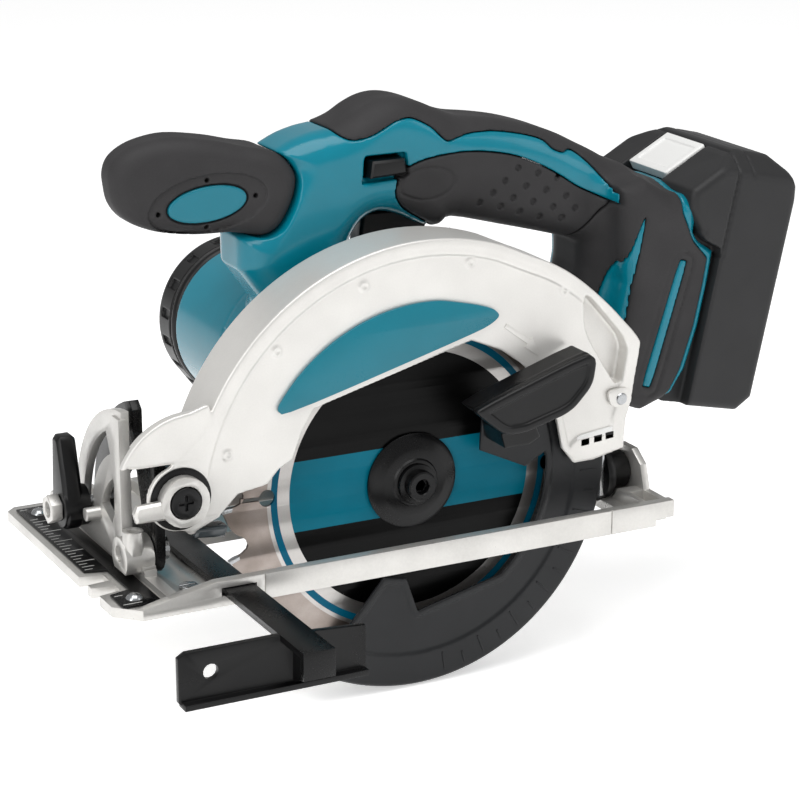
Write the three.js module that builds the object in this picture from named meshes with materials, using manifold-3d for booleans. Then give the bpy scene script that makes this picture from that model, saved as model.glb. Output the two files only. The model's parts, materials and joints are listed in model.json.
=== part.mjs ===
// A cordless circular saw: base with bevel and depth pivots, upper and lower guard, blade drive,
// motor, two-part handle and a slide-on battery. Millimetres. X runs to the rear, Y to the motor
// side, Z up. The origin is on the sole under the blade's axis, on the wide side of the base.
import * as THREE from 'three';
import { mergeVertices } from 'three/addons/utils/BufferGeometryUtils.js';
import Module from 'manifold-3d';

const wasm = await Module();
wasm.setup();

// ---- driving dimensions -------------------------------------------------------------------

const BLADE_TO_ORIGIN = 45; // the blade's mid-plane lies this far from the origin, to -Y
const GAP = 0.3; // clearance between neighbouring pieces
const BLADE_R = 82.5;
const BLADE_THICKNESS = 1.3;
const TOOTH_COUNT = 24;
const AXIS_Z = 25.5; // height of the blade's axis, which leaves 57 mm of blade below the sole
const GUARD_R = 100;
const GUARD_NEAR = -13;
const GUARD_FAR = 13;
const WALL = 2.5;
const LOWER_R = 85.5;
const LOWER_INNER_R = 83.7;
const LOWER_HALF = 9;
const HUB_BORE_R = 14.8;
const BASE_FRONT = -137;
const BASE_REAR = 104.5;
const BASE_NEAR = -32.7;
const BASE_FAR = 98;
const PLATE = 4;
const RAIL_TOP = 10;
const WINDOW = { front: -80, rear: 87, near: -28.5, far: 31 };
const BEVEL_Y = 3.5; // the bevel axis runs along X here
const BEVEL_Z = 13.5;
const BEVEL_SLOT_R = 43;
const QUADRANT_R = 55.5;
const DEPTH_X = -104; // the depth axis runs along Y here
const DEPTH_Z = 38;
const GEAR_MODULE = 1;
const GEAR_TEETH = 41;
const PINION_TEETH = 9;
const CENTRES = (GEAR_MODULE * (GEAR_TEETH + PINION_TEETH)) / 2;
const MOTOR_TURN = Math.atan2(0.883, -0.47); // direction from the spindle to the motor shaft
const MOTOR_X = CENTRES * Math.cos(MOTOR_TURN);
const MOTOR_Z = AXIS_Z + CENTRES * Math.sin(MOTOR_TURN);
const MOTOR_REAR = 107; // where the motor housing ends and its vented cover begins
const MOTOR_END = 126;
const HANDLE = { near: 20, middle: 38, far: 56 };
const FOOT = { near: 4, far: 72 };
const BATTERY = { near: 2, far: 78, lean: 0.2164, x: 133.2, z: 38.3 };

// ---- materials ----------------------------------------------------------------------------

function material(colour, roughness, metalness) {
  return new THREE.MeshStandardMaterial({ color: colour, roughness, metalness });
}

const FINISH = {
  castAlloy: () => material(0xdcdad5, 0.42, 0.6),
  teal: () => material(0x007d96, 0.28, 0),
  rubber: () => material(0x3c3a3c, 0.8, 0),
  blackPlastic: () => material(0x1c1c1e, 0.5, 0),
  greyPlastic: () => material(0x404042, 0.45, 0),
  blackSteel: () => material(0x161617, 0.4, 0.5),
  steel: () => material(0xb9bbbd, 0.3, 1),
  copper: () => material(0xb06a3a, 0.35, 1),
  whitePlastic: () => material(0xf2f2f0, 0.35, 0),
  lens: () => material(0x9aa2a6, 0.2, 0),
};

// ---- solids -------------------------------------------------------------------------------

// A closed three.js geometry as a solid, with its seams welded and its faces pointing out.
function solid(geometry) {
  const plain = geometry.index ? geometry.toNonIndexed() : geometry.clone();
  plain.deleteAttribute('normal');
  plain.deleteAttribute('uv');
  const welded = mergeVertices(plain, 1e-4);
  const at = welded.attributes.position.array;
  const corners = [];
  let volume = 0;
  for (let i = 0; i < welded.index.count; i += 3) {
    const [a, b, c] = [0, 1, 2].map((k) => welded.index.getX(i + k));
    if (a === b || b === c || a === c) continue;
    corners.push(a, b, c);
    const [p, q, r] = [a, b, c].map((k) => new THREE.Vector3().fromArray(at, k * 3));
    volume += p.dot(q.cross(r));
  }
  if (volume < 0) corners.reverse();
  const mesh = new wasm.Mesh({
    numProp: 3,
    vertProperties: new Float32Array(at),
    triVerts: new Uint32Array(corners),
  });
  return new wasm.Manifold(mesh);
}

function geometryOf(body) {
  const mesh = body.getMesh();
  const geometry = new THREE.BufferGeometry();
  geometry.setAttribute('position', new THREE.BufferAttribute(mesh.vertProperties, 3));
  geometry.setIndex(new THREE.BufferAttribute(mesh.triVerts, 1));
  return geometry;
}

const join = (first, ...rest) => rest.reduce((whole, piece) => whole.add(piece), first);
const cut = (first, ...rest) => rest.reduce((whole, piece) => whole.subtract(piece), first);

// How a drawn outline stands in space: its own two axes, and the way it is extruded.
const PLANES = {
  XY: [[1, 0, 0], [0, 1, 0], [0, 0, 1]],
  XZ: [[1, 0, 0], [0, 0, 1], [0, -1, 0]],
  YZ: [[0, 1, 0], [0, 0, 1], [1, 0, 0]],
};

// An outline in one plane, extruded across it from low to high, with an optional bevelled edge.
function prism(plane, points, low, high, bevel = 0) {
  const shape = new THREE.Shape(points.map(([a, b]) => new THREE.Vector2(a, b)));
  const geometry = new THREE.ExtrudeGeometry(shape, {
    depth: high - low - 2 * bevel,
    bevelEnabled: bevel > 0,
    bevelThickness: bevel,
    bevelSize: bevel,
    bevelOffset: -bevel,
    bevelSegments: bevel > 3 ? 2 : 1,
    curveSegments: 12,
  });
  geometry.translate(0, 0, bevel);
  const axes = PLANES[plane].map((axis) => new THREE.Vector3(...axis));
  geometry.applyMatrix4(new THREE.Matrix4().makeBasis(...axes));
  const shift = { XY: [0, 0, low], XZ: [0, high, 0], YZ: [low, 0, 0] }[plane];
  geometry.translate(...shift);
  return solid(geometry);
}

function box(x0, x1, y0, y1, z0, z1) {
  const geometry = new THREE.BoxGeometry(x1 - x0, y1 - y0, z1 - z0);
  geometry.translate((x0 + x1) / 2, (y0 + y1) / 2, (z0 + z1) / 2);
  return solid(geometry);
}

// A profile of [radius, distance along the axis] turned about X, Y or Z through a point.
function turned(axis, [x, y, z], profile, sides = 24) {
  const points = profile.map(([radius, along]) => new THREE.Vector2(radius, along));
  const geometry = new THREE.LatheGeometry(points, sides);
  if (axis === 'X') geometry.rotateZ(-Math.PI / 2);
  if (axis === 'Z') geometry.rotateX(Math.PI / 2);
  geometry.translate(x, y, z);
  return solid(geometry);
}

const rod = (axis, at, radius, low, high, sides) =>
  turned(axis, at, [[0, low], [radius, low], [radius, high], [0, high]], sides);

const tube = (axis, at, inner, outer, low, high, sides) =>
  turned(axis, at, [[inner, low], [outer, low], [outer, high], [inner, high], [inner, low]], sides);

// Points on an arc, with angles in degrees from the outline's first axis to its second.
function arc(a, b, radius, from, to, steps) {
  return Array.from({ length: steps + 1 }, (_, i) => {
    const turn = THREE.MathUtils.degToRad(from + ((to - from) * i) / steps);
    return [a + radius * Math.cos(turn), b + radius * Math.sin(turn)];
  });
}

const ring = (inner, outer, from, to, steps, a = 0, b = AXIS_Z) => [
  ...arc(a, b, outer, from, to, steps),
  ...arc(a, b, inner, to, from, steps),
];

// A bar of round section along a smooth path, as for a bent rod.
function along(points, radius, steps, sides = 8) {
  const path = new THREE.CatmullRomCurve3(points.map((p) => new THREE.Vector3(...p)));
  const section = new THREE.Shape(arc(0, 0, radius, 0, 360 - 360 / sides, sides - 1)
    .map(([a, b]) => new THREE.Vector2(a, b)));
  return solid(new THREE.ExtrudeGeometry(section, { steps, extrudePath: path }));
}

const saw = new THREE.Group();
saw.position.y = -BLADE_TO_ORIGIN;

function piece(name, body, finish) {
  const mesh = new THREE.Mesh(geometryOf(body), finish());
  mesh.name = name;
  saw.add(mesh);
  return body;
}

const SHELF_TOP = 9;
const FOOT_SEAT = 6.8;
const FENCE_SCREW = [-104, -19, 0];
const RIVETS = [-21, 84];
const RAIL_GROOVES = [-78.8, 74.5];
const SPINDLE = [0, 0, AXIS_Z];
const MOTOR = [MOTOR_X, 0, MOTOR_Z];
const BEVEL = [0, BEVEL_Y, BEVEL_Z];

// ---- base ---------------------------------------------------------------------------------

function basePlate() {
  const chamfer = 9;
  const outline = [
    [BASE_FRONT + chamfer, BASE_NEAR], [BASE_REAR, BASE_NEAR], [BASE_REAR, BASE_FAR],
    [BASE_FRONT + 4, BASE_FAR], [BASE_FRONT, BASE_FAR - 4], [BASE_FRONT, 10.8],
    [-128, 8.5], [-128, 2.5], [-137, 1.5], [-137, -2.5], [-128, -4], [-128, -9],
    [BASE_FRONT, -11], [BASE_FRONT, BASE_NEAR + chamfer],
  ];
  const solids = [
    prism('XY', outline, 0, PLATE),
    box(-98, BASE_REAR, BASE_NEAR, WINDOW.near, 0, RAIL_TOP),
    prism('XZ', [[-128, 0], [-98, 0], [-98, RAIL_TOP], [-113, 7.4], [-128, PLATE]],
      BASE_NEAR, WINDOW.near),
    box(-117, BASE_REAR, BASE_FAR - 3, BASE_FAR, 0, 8),
    box(-117, -98.5, -7, BASE_FAR - 1, 0, SHELF_TOP),
    box(-117, -112, BASE_NEAR + 1, -6, 0, 6.5),
    box(WINDOW.front - 2, -77, WINDOW.far + 0.5, BASE_FAR - 1, 0, SHELF_TOP),
    box(92.5, BASE_REAR, BASE_NEAR + 1, BASE_FAR - 1, 0, SHELF_TOP),
    prism('YZ', [[-16, 3], [-11, 19], [-4, 24], [6, 24], [14, 18], [20, 3]], 101.5, BASE_REAR),
  ];
  const hollows = [
    box(-112, -97, -26, 40, PLATE, 20),
    box(-112, -100.5, 43, BASE_FAR - 4, PLATE, 20),
    box(95, 101.5, -27, -14, PLATE, 20),
    box(95, 101.5, 23, BASE_FAR - 4, PLATE, 20),
    box(WINDOW.front, WINDOW.rear, WINDOW.near, WINDOW.far, -5, 30),
    box(-96.4, -81.9, BASE_NEAR - 2, -27, 4.1, 7.4),
    box(96, 110, BASE_NEAR - 1, -27, -1, 3),
    box(-118, -111.5, -6, 70, FOOT_SEAT, 20),
    rod('X', BEVEL, 12.2, 80, 101.5, 20),
    rod('X', BEVEL, 3.3, 95, 110, 12),
    rod('Z', FENCE_SCREW, 2.5, -1, 8, 10),
    ...RIVETS.map((y) => rod('Z', [-127, y, 0], 1.9, -1, 6, 10)),
    ...RAIL_GROOVES.map((x) => box(x, x + 0.6, BASE_NEAR - 1, BASE_NEAR + 0.5, -1, 20)),
  ];
  return cut(join(...solids), ...hollows);
}

piece('base_plate', basePlate(), FINISH.castAlloy);

const scaleOutline = [[-134, -28], [-118.5, -28], [-118.5, 92], [-134, 92], [-134, 13.5],
  [-125.5, 11], [-125.5, -11.5], [-134, -14]];
piece('scale_plate', join(
  prism('XY', scaleOutline, PLATE + GAP, PLATE + 1),
  ...RIVETS.map((y) => turned('Z', [-127, y, 0], [[0, 0.5], [1.5, 0.5], [1.5, PLATE + 0.5],
    [3, PLATE + 0.5], [3, PLATE + 1.2], [2, PLATE + 2.2], [0, PLATE + 2.6]], 10)),
), FINISH.blackPlastic);

// The fixed half of the front bevel hinge: a sector with a curved slot, standing on a foot.
function bevelQuadrant() {
  const front = -119.6;
  const back = -116.4;
  const bottom = FOOT_SEAT + GAP;
  const edge = BEVEL_Y + 2.5;
  const sector = prism('YZ', [
    ...arc(BEVEL_Y, BEVEL_Z, QUADRANT_R, 0, 87, 18), [edge, bottom], [QUADRANT_R + 2, bottom],
  ], front, back);
  const slot = prism('YZ',
    ring(BEVEL_SLOT_R - 4.6, BEVEL_SLOT_R + 4.6, 3, 66, 14, BEVEL_Y, BEVEL_Z), front - 1, back + 1);
  const window = prism('YZ', ring(17, 29, 24, 62, 6, BEVEL_Y, BEVEL_Z), front - 1, back + 1);
  const post = box(front - 1.2, -113, edge, edge + 7, bottom, 66);
  const postRelief = box(back - 0.3, -112, edge - 1, edge + 8, SHELF_TOP + 3, 70);
  const boss = rod('X', [0, BEVEL_Y - 1, BEVEL_Z - 1], 8, -123.4, -112, 20)
    .subtract(box(-130, -100, -20, 40, 0, bottom));
  const screwBoss = rod('Z', [-119.2, BEVEL_Y - 5, 0], 4.1, 15, 24, 14);
  const stopPeg = rod('X', [0, 33, 20.4], 2.7, -125.5, back, 14);
  const foot = box(-117.2, -111.8, -5.5, 69.5, bottom, SHELF_TOP + 1);
  return cut(join(sector, post.subtract(postRelief), boss, screwBoss, foot, stopPeg), slot, window,
    rod('X', BEVEL, 3.3, -130, -100, 12),
    rod('Z', [-119.2, BEVEL_Y - 5, 0], 2.2, 20, 30, 8));
}

piece('bevel_quadrant', bevelQuadrant(), FINISH.castAlloy);

piece('front_bevel_pin', turned('X', BEVEL,
  [[0, -121.5], [3, -121.5], [3, -106.5], [5, -106.5], [5, -104.2], [0, -104.2]], 16),
FINISH.steel);

piece('fence_clamp_screw', cut(join(
  rod('Z', FENCE_SCREW, 2.2, 0.5, 5, 10),
  rod('Z', FENCE_SCREW, 3.8, PLATE + GAP, 5.6, 12),
), box(-109, -99, -19.5, -18.5, 5, 6)), FINISH.steel);

// ---- rip fence ----------------------------------------------------------------------------

piece('rip_fence', cut(join(
  box(-95.4, -82.9, -103, 50, 4.4, 7),
  box(-95.4, -82.9, -103, -100, -3.7, 7),
  prism('XZ', [[-135, -12], [-133, -14], [-62, -14], [-61, -12], [-61, 4.4], [-95, 6.8], [-132, 6.8],
    [-135, 5]], -83, -80.5),
  box(-134, -61.5, -86.5, -80.5, -14, -11.8),
  prism('YZ', [[-100.5, -3.7], [-100.5, 0], [-82, 5], [-82, -13]], -90.5, -88),
), rod('Y', [-122.5, 0, -2], 3, -90, -75, 14)), FINISH.blackSteel);

// ---- tilting bracket ----------------------------------------------------------------------

const [clampY, clampZ] = arc(BEVEL_Y, BEVEL_Z, BEVEL_SLOT_R, 9, 9, 1)[0];
const BEVEL_CLAMP = [0, clampY, clampZ];

// It hangs on the front bevel pin, slides behind the quadrant and carries the depth pivot.
function tiltBracket() {
  const front = -111.5;
  const back = -107.5;
  const plate = prism('YZ', [
    ...arc(BEVEL_Y, BEVEL_Z, QUADRANT_R + 2, 0, 75, 12), [15, 66], [15, 57], [BEVEL_Y - 5, 56],
    [BEVEL_Y - 9, 51], ...arc(BEVEL_Y, BEVEL_Z, 9, 180, 300, 6),
  ], front, back);
  const opening = prism('YZ', ring(17, 34, 12, 72, 8, BEVEL_Y, BEVEL_Z), front - 1, back + 1);
  const arm = prism('XZ', [[front, 24], ...arc(DEPTH_X, DEPTH_Z, 9.5, -80, 100, 8),
    [front, 56]], -5.5, 3.5);
  const pinHole = rod('X', BEVEL, 3.3, -120, -100, 12);
  const pivotHole = rod('Y', [DEPTH_X, 0, DEPTH_Z], 5.3, -20, 20, 16);
  const clampHole = rod('X', BEVEL_CLAMP, 3.4, -120, -100, 12);
  return cut(join(plate, arm), opening, pinHole, pivotHole, clampHole);
}

piece('tilt_bracket', tiltBracket(), FINISH.blackSteel);

piece('bevel_clamp_bolt', join(
  rod('X', BEVEL_CLAMP, 3, -134.5, -104, 12),
  rod('X', BEVEL_CLAMP, 6, -107.2, -103.5, 6),
), FINISH.steel);

const leverOutline = [...arc(clampY, clampZ, 9, 200, 340, 8), [clampY + 8, 30],
  [clampY + 6.5, 47.5], [clampY + 5.5, 49], [clampY + 0.5, 49], [clampY - 0.8, 47], [clampY - 5, 32]];
piece('bevel_lever', cut(join(
  prism('YZ', leverOutline, -131.5, -123.5, 1.5),
  rod('X', BEVEL_CLAMP, 8.2, -131.5, -120.6, 16),
), rod('X', BEVEL_CLAMP, 3.3, -140, -110, 12)), FINISH.blackPlastic);

piece('bevel_lever_nut', cut(rod('X', BEVEL_CLAMP, 6, -136.5, -131.9, 6),
  rod('X', BEVEL_CLAMP, 3.3, -140, -130, 12)), FINISH.castAlloy);

piece('depth_pivot_ring', cut(join(
  rod('Y', [DEPTH_X, 0, DEPTH_Z], 9.8, -18.5, GUARD_NEAR - GAP, 24),
  prism('XZ', [[-123.6, 32.4], [-110, 32], [-110, 39.6], [-123, 39], [-124.4, 36]], -18, -14, 1),
), rod('Y', [DEPTH_X, 0, DEPTH_Z], 6.6, -25, -10, 24)), FINISH.castAlloy);

piece('depth_pivot_screw', cut(turned('Y', [DEPTH_X, 0, DEPTH_Z],
  [[0, -19], [5.9, -19], [6.1, -18.4], [6.1, GUARD_NEAR - GAP], [5, GUARD_NEAR - GAP], [5, 7.5],
    [0, 7.5]], 20),
box(DEPTH_X - 3, DEPTH_X + 3, -24, -17.5, DEPTH_Z - 0.6, DEPTH_Z + 0.6),
box(DEPTH_X - 0.6, DEPTH_X + 0.6, -24, -17.5, DEPTH_Z - 3, DEPTH_Z + 3)), FINISH.blackPlastic);

piece('rear_bevel_pin', turned('X', BEVEL,
  [[0, 86.8], [3, 86.8], [3, 104.8], [5, 104.8], [5, 107], [0, 107]], 16), FINISH.steel);

piece('rear_tilt_bracket', cut(join(
  rod('X', BEVEL, 11.5, 88.7, 92.2, 24),
  rod('X', BEVEL, 8, 92, 101.2, 20),
), rod('X', BEVEL, 3.3, 70, 110, 12)), FINISH.blackPlastic);

// A steel arc behind the guard, struck about the depth pivot, with a tab on the rear bevel pin.
const ARC_R = 150;
const DEPTH_REST = -2; // where the depth clamp stands on the arc with the blade fully down
const clampAt = arc(DEPTH_X, DEPTH_Z, ARC_R, DEPTH_REST, DEPTH_REST, 1)[0];
const DEPTH_CLAMP = [clampAt[0], 0, clampAt[1]];
piece('depth_guide', cut(join(
  prism('XZ', ring(ARC_R - 5.5, ARC_R + 5, -6, 33, 16, DEPTH_X, DEPTH_Z), 14.2, 16.2),
  box(44, 88.4, 14.2, 16.2, 19, 28),
  box(86.6, 88.4, -4, 16.2, 5.5, 28),
), prism('XZ', ring(ARC_R - 3, ARC_R + 3, -3.6, 31.6, 16, DEPTH_X, DEPTH_Z), 13, 18),
rod('X', BEVEL, 3.3, 70, 110, 12)), FINISH.steel);

// ---- upper guard --------------------------------------------------------------------------

// The guard's near face, seen from the blade's side, runs round this line above the window.
const guardTop = [
  ...arc(DEPTH_X, DEPTH_Z, 13, 240, 155, 5), ...arc(0, AXIS_Z, GUARD_R + 1, 158, 62, 26),
  [59, 112], [75, 99.5], [89, 86.5], [98, 75], [98.5, 71], [94.9, 48], [92.5, 40],
];
const nearEdge = [
  [92, 28.5], [78, 25.5], [68.5, 25.5], [63, 32.5], [60.2, 45], [54, 60], [43.7, 70.8],
  [34.5, 77.5], [21, 83.3], [-47.9, 65.1], [-52.8, 56.6], [-56.9, 46], [-62.4, 43.2],
  [-67.9, 37.5], [-79.8, 35.7], [-87.9, 28], [-98.5, 24.5],
];
const WING = [[-94, 52], [-123.5, 52], [-126, 54.4], ...arc(-99, 40, 31, 150, 92, 6), [-90, 74]];
const CHUTE = [[69.8, 100.9], [95, 73], [91.8, 55.2], [88.5, 53.9], [71.4, 80.4]];

function bladeCase() {
  const nearWall = prism('XZ', [...guardTop, ...nearEdge], GUARD_NEAR, GUARD_NEAR + WALL, 0.6);
  const outer = prism('XZ', [
    ...arc(0, AXIS_Z, GUARD_R + 1, 178, 62, 28), [59, 112], [75, 99.5], [89, 86.5], [98, 75],
    [98.5, 71], [94.9, 48], [92.5, 40], [92, 29.5], [72, 29.5], [72, 22], [-100, 22],
  ], GUARD_NEAR + 1, GUARD_FAR, 0.6);
  const hollow = prism('XZ', [
    ...arc(0, AXIS_Z, GUARD_R - WALL, 178, 62, 24), [52, 110], [66, 98], [71.5, 82], [87.5, 52],
    [90, 40], [90, 0], [-97, 0],
  ], GUARD_NEAR - 1, GUARD_FAR - WALL);
  const shell = outer.subtract(hollow);
  const wing = prism('XZ', WING, GUARD_NEAR, -10.2, 0.6);
  const knuckle = rod('Y', [DEPTH_X, 0, DEPTH_Z], 10.3, -10, 3.8, 24);
  const armWay = prism('XZ', [[-130, 20], [DEPTH_X, 20], [DEPTH_X, 60], [-130, 60]], -9.8, 3.8);
  const chuteFloor = prism('XZ', CHUTE, GUARD_NEAR + WALL, GUARD_NEAR + 8);
  const chutePocket = prism('XZ', CHUTE.map(([x, z]) => [82 + (x - 82) * 0.86, 76 + (z - 76) * 0.9]),
    GUARD_NEAR - 1, GUARD_NEAR + 6.4);
  return cut(join(shell, nearWall, wing, chuteFloor), knuckle, armWay, chutePocket,
    rod('Y', [DEPTH_X, 0, DEPTH_Z], 5.3, -20, 20, 16),
    rod('Y', SPINDLE, HUB_BORE_R, 5, 20, 24),
    rod('Y', DEPTH_CLAMP, 2.9, 5, 20, 10));
}

piece('blade_case', bladeCase(), FINISH.castAlloy);

const BADGE = [
  [-64, 67.5], [-61, 64.4], [23.5, 87.2], [30, 90], [32.9, 92.6], [30, 95.6], [23, 98],
  ...arc(0, AXIS_Z, 76.5, 84, 138, 8),
];
piece('guard_badge', prism('XZ', BADGE, GUARD_NEAR - 0.9, GUARD_NEAR - GAP), FINISH.teal);
piece('lamp_lens', prism('XZ', [[-97, 19.5], [-84, 18], [-83, 22.5], [-96, 23.4]], -9.5, -1, 1),
  FINISH.lens);

// ---- lower guard --------------------------------------------------------------------------

// Its mouth faces forward; it turns back and up into the upper guard.
function lowerGuard() {
  const mouth = -123;
  const heel = 20;
  const rim = prism('XZ', ring(LOWER_INNER_R, LOWER_R, mouth, heel, 26), -LOWER_HALF, LOWER_HALF);
  const nearWall = prism('XZ', [
    ...arc(0, AXIS_Z, LOWER_R, mouth, heel, 26), ...arc(0, AXIS_Z, 58, heel, -50, 10),
    [24, -22], [-0.8, -28], [-6, -13], [-16, -11],
  ], -LOWER_HALF, -7.2);
  const leverLug = prism('XZ', [[27, 36], [48, 26], [74, 40], [71, 56], [60, 50], [44, 52],
    [28, 50]], -LOWER_HALF, -7.2);
  const farWall = join(
    prism('XZ', ring(17, LOWER_R, mouth, heel, 26), 7.2, LOWER_HALF),
    tube('Y', SPINDLE, HUB_BORE_R + GAP, 24, 7.2, LOWER_HALF, 24),
  );
  return join(rim, nearWall, leverLug, farWall);
}

piece('lower_guard', lowerGuard(), FINISH.greyPlastic);

piece('retract_lever', join(
  prism('XZ', [[13.7, 60.5], [64, 77], [68.3, 73.8], [66.6, 63.3], [57, 53.6], [42, 49.6],
    [36, 48], [27, 48], [15, 58]], -30, -25.5, 1),
  prism('XZ', [[13.7, 60.5], [64, 77], [67, 75], [18, 56.5]], -27, -15, 0.8),
  prism('XZ', [[27, 49], [42, 51], [45, 44], [40, 41.5], [29, 41.5]], -26, -LOWER_HALF - GAP),
), FINISH.blackPlastic);

// ---- blade and drive ----------------------------------------------------------------------

function bladeBody() {
  const outline = Array.from({ length: TOOTH_COUNT }, (_, i) => {
    const start = (360 / TOOTH_COUNT) * i;
    return [[BLADE_R, 0], [BLADE_R - 2, 2.2], [BLADE_R - 4, 7], [BLADE_R - 9, 10.5],
      [BLADE_R - 9.5, 13], [BLADE_R - 6, 14.6]]
      .map(([radius, turn]) => arc(0, AXIS_Z, radius, start + turn, start + turn, 1)[0]);
  }).flat();
  const half = BLADE_THICKNESS / 2;
  const slots = [178, 88, -2, -92].map((turn) => {
    const hole = arc(0, AXIS_Z, 63, turn, turn, 1)[0];
    const mouth = arc(0, AXIS_Z, 78, turn, turn, 1)[0];
    const side = new THREE.Vector2(mouth[1] - hole[1], hole[0] - mouth[0]).setLength(0.8);
    return join(
      rod('Y', [hole[0], 0, hole[1]], 3.4, -2, 2, 10),
      prism('XZ', [[hole[0] + side.x, hole[1] + side.y], [mouth[0] + side.x, mouth[1] + side.y],
        [mouth[0] - side.x, mouth[1] - side.y], [hole[0] - side.x, hole[1] - side.y]], -2, 2),
    );
  });
  return cut(prism('XZ', outline, -half, half), ...slots, rod('Y', SPINDLE, 8, -2, 2, 20));
}

piece('blade', bladeBody(), FINISH.steel);

piece('outer_flange', cut(turned('Y', SPINDLE,
  [[0, -5.4], [9, -5.4], [10, -4.4], [13.5, -4.2], [19.6, -2], [19.6, -0.95], [0, -0.95]], 28),
rod('Y', SPINDLE, 4.3, -10, 5, 12)), FINISH.blackSteel);

piece('blade_bolt', cut(turned('Y', SPINDLE,
  [[0, -11.3], [5.6, -11.3], [6.2, -10.7], [6.2, -7.4], [8, -6.9], [8, -5.7], [4, -5.7], [4, 12],
    [0, 12]], 18), rod('Y', SPINDLE, 2.9, -13, -7.5, 6)), FINISH.blackSteel);

piece('inner_flange', cut(turned('Y', SPINDLE,
  [[0, -0.6], [7.7, -0.6], [7.7, 0.95], [17, 0.95], [17, 3.6], [0, 3.6]], 24),
rod('Y', SPINDLE, 4.3, -10, 5, 12)), FINISH.steel);

piece('spindle', cut(turned('Y', SPINDLE,
  [[0, 3.9], [8, 3.9], [8, 4.8], [5, 4.8], [5, 31], [0, 31]], 20),
rod('Y', SPINDLE, 4.3, 0, 12.4, 12)), FINISH.steel);

// Straight teeth cut short, so that a pair meshes with room on both flanks.
function gear(teeth, bore, x, z, low, high, phase) {
  const pitch = (GEAR_MODULE * teeth) / 2;
  const across = (length, radius) => THREE.MathUtils.radToDeg(length / radius);
  const outline = Array.from({ length: teeth }, (_, i) => {
    const middle = phase + (360 / teeth) * i;
    return [[-0.62, pitch - 0.9], [-0.3, pitch + 0.5], [0.3, pitch + 0.5], [0.62, pitch - 0.9]]
      .map(([half, radius]) => arc(x, z, radius, middle + across(half * GEAR_MODULE, pitch), 0, 1)[0]);
  }).flat();
  return prism('XZ', outline, low, high).subtract(rod('Y', [x, 0, z], bore, low - 1, high + 1, 20));
}

const TO_MOTOR = THREE.MathUtils.radToDeg(MOTOR_TURN);
piece('spindle_gear', gear(GEAR_TEETH, 5.3, 0, AXIS_Z, 16, 23, TO_MOTOR), FINISH.steel);
piece('pinion', gear(PINION_TEETH, 2.8, MOTOR_X, MOTOR_Z, 15.8, 23.4,
  TO_MOTOR + 180 + 180 / PINION_TEETH), FINISH.steel);

piece('front_spindle_bearing', tube('Y', SPINDLE, 5.3, 10.4, 6.2, 12.8, 20), FINISH.steel);
piece('rear_spindle_bearing', tube('Y', SPINDLE, 5.3, 9, 26.2, 31, 20), FINISH.steel);

// Outlines of the gear case and of the motor housing: two circles in a common skin.
function skin(grow, [ax, az, ar], [bx, bz, br]) {
  const a = rod('Y', [ax, 0, az], ar + grow, 0, 1, 36);
  const b = rod('Y', [bx, 0, bz], br + grow, 0, 1, 36);
  return wasm.Manifold.hull([a, b]);
}
const stretch = (body, low, high) => body.scale([1, high - low, 1]).translate([0, low, 0]);
const GEAR_CIRCLES = [[0, AXIS_Z, 22.4], [MOTOR_X, MOTOR_Z, 9]];
const MOTOR_CIRCLES = [[-22.1, 67.5, 33.8], [MOTOR_X, MOTOR_Z, 30]];
const GEARS = { low: GUARD_FAR + GAP, high: 25.5 };
const PLATE_BACK = 32;
const SHAFT_LOCK = [0, 19.5, 30];

piece('gear_housing', cut(join(
  stretch(skin(2.2, ...GEAR_CIRCLES), GEARS.low, GEARS.high),
  rod('Y', SPINDLE, HUB_BORE_R - GAP, 5.3, GEARS.low + 1, 24),
), stretch(skin(0, ...GEAR_CIRCLES), 15.3, GEARS.high + 1),
rod('Y', SPINDLE, 10.7, 5.9, 20, 20), rod('Y', SPINDLE, 8.4, 0, 20, 20),
rod('X', SHAFT_LOCK, 3, 15, 30, 12)), FINISH.castAlloy);

piece('bearing_plate', cut(
  stretch(skin(0, ...MOTOR_CIRCLES), GEARS.high + GAP, PLATE_BACK),
  rod('Y', SPINDLE, 9.3, 25.9, 31.3, 20),
  rod('Y', SPINDLE, 7, 20, 29, 16),
  rod('Y', MOTOR, 9.3, 26.5, 40, 20),
  rod('Y', MOTOR, 6.5, 20, 40, 16),
), FINISH.castAlloy);
piece('front_motor_bearing', tube('Y', MOTOR, 4.3, 9, 26.8, 31.8, 20), FINISH.steel);
piece('rear_motor_bearing', tube('Y', MOTOR, 3.8, 8, 109, 114, 20), FINISH.steel);

piece('armature', turned('Y', MOTOR, [
  [0, 15.6], [2.5, 15.6], [2.5, 24.2], [4, 24.2], [4, 46], [6, 46], [6, 47], [15, 50], [15, 84],
  [6, 88], [4, 88], [4, 105], [3.5, 105], [3.5, 115], [0, 115],
], 20), FINISH.copper);
piece('commutator', tube('Y', MOTOR, 4.3, 10, 90, 101, 20), FINISH.copper);
piece('cooling_fan', join(
  tube('Y', MOTOR, 4.3, 23, 34, 35.8, 24),
  ...Array.from({ length: 10 }, (_, i) => box(8, 22.5, -0.6, 0.6, 0, 1)
    .scale([1, 1, 8.6]).rotate([-90, 36 * i, 0]).translate([MOTOR_X, 35.4, MOTOR_Z])),
), FINISH.greyPlastic);
piece('stator', tube('Y', MOTOR, 16.5, 26.5, 49, 85, 28), FINISH.steel);
['left_carbon_brush', 'right_carbon_brush'].forEach((name, i) => {
  const side = i ? 1 : -1;
  const [from, to] = [side * 10.4, side * 22].sort((a, b) => a - b);
  piece(name, box(MOTOR_X + from, MOTOR_X + to, 92, 99, MOTOR_Z - 3, MOTOR_Z + 3), FINISH.copper);
});

piece('motor_housing', cut(
  stretch(skin(0, ...MOTOR_CIRCLES), PLATE_BACK + GAP, MOTOR_REAR),
  stretch(skin(-WALL, ...MOTOR_CIRCLES), PLATE_BACK - 1, MOTOR_REAR + 1),
), FINISH.teal);

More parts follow.
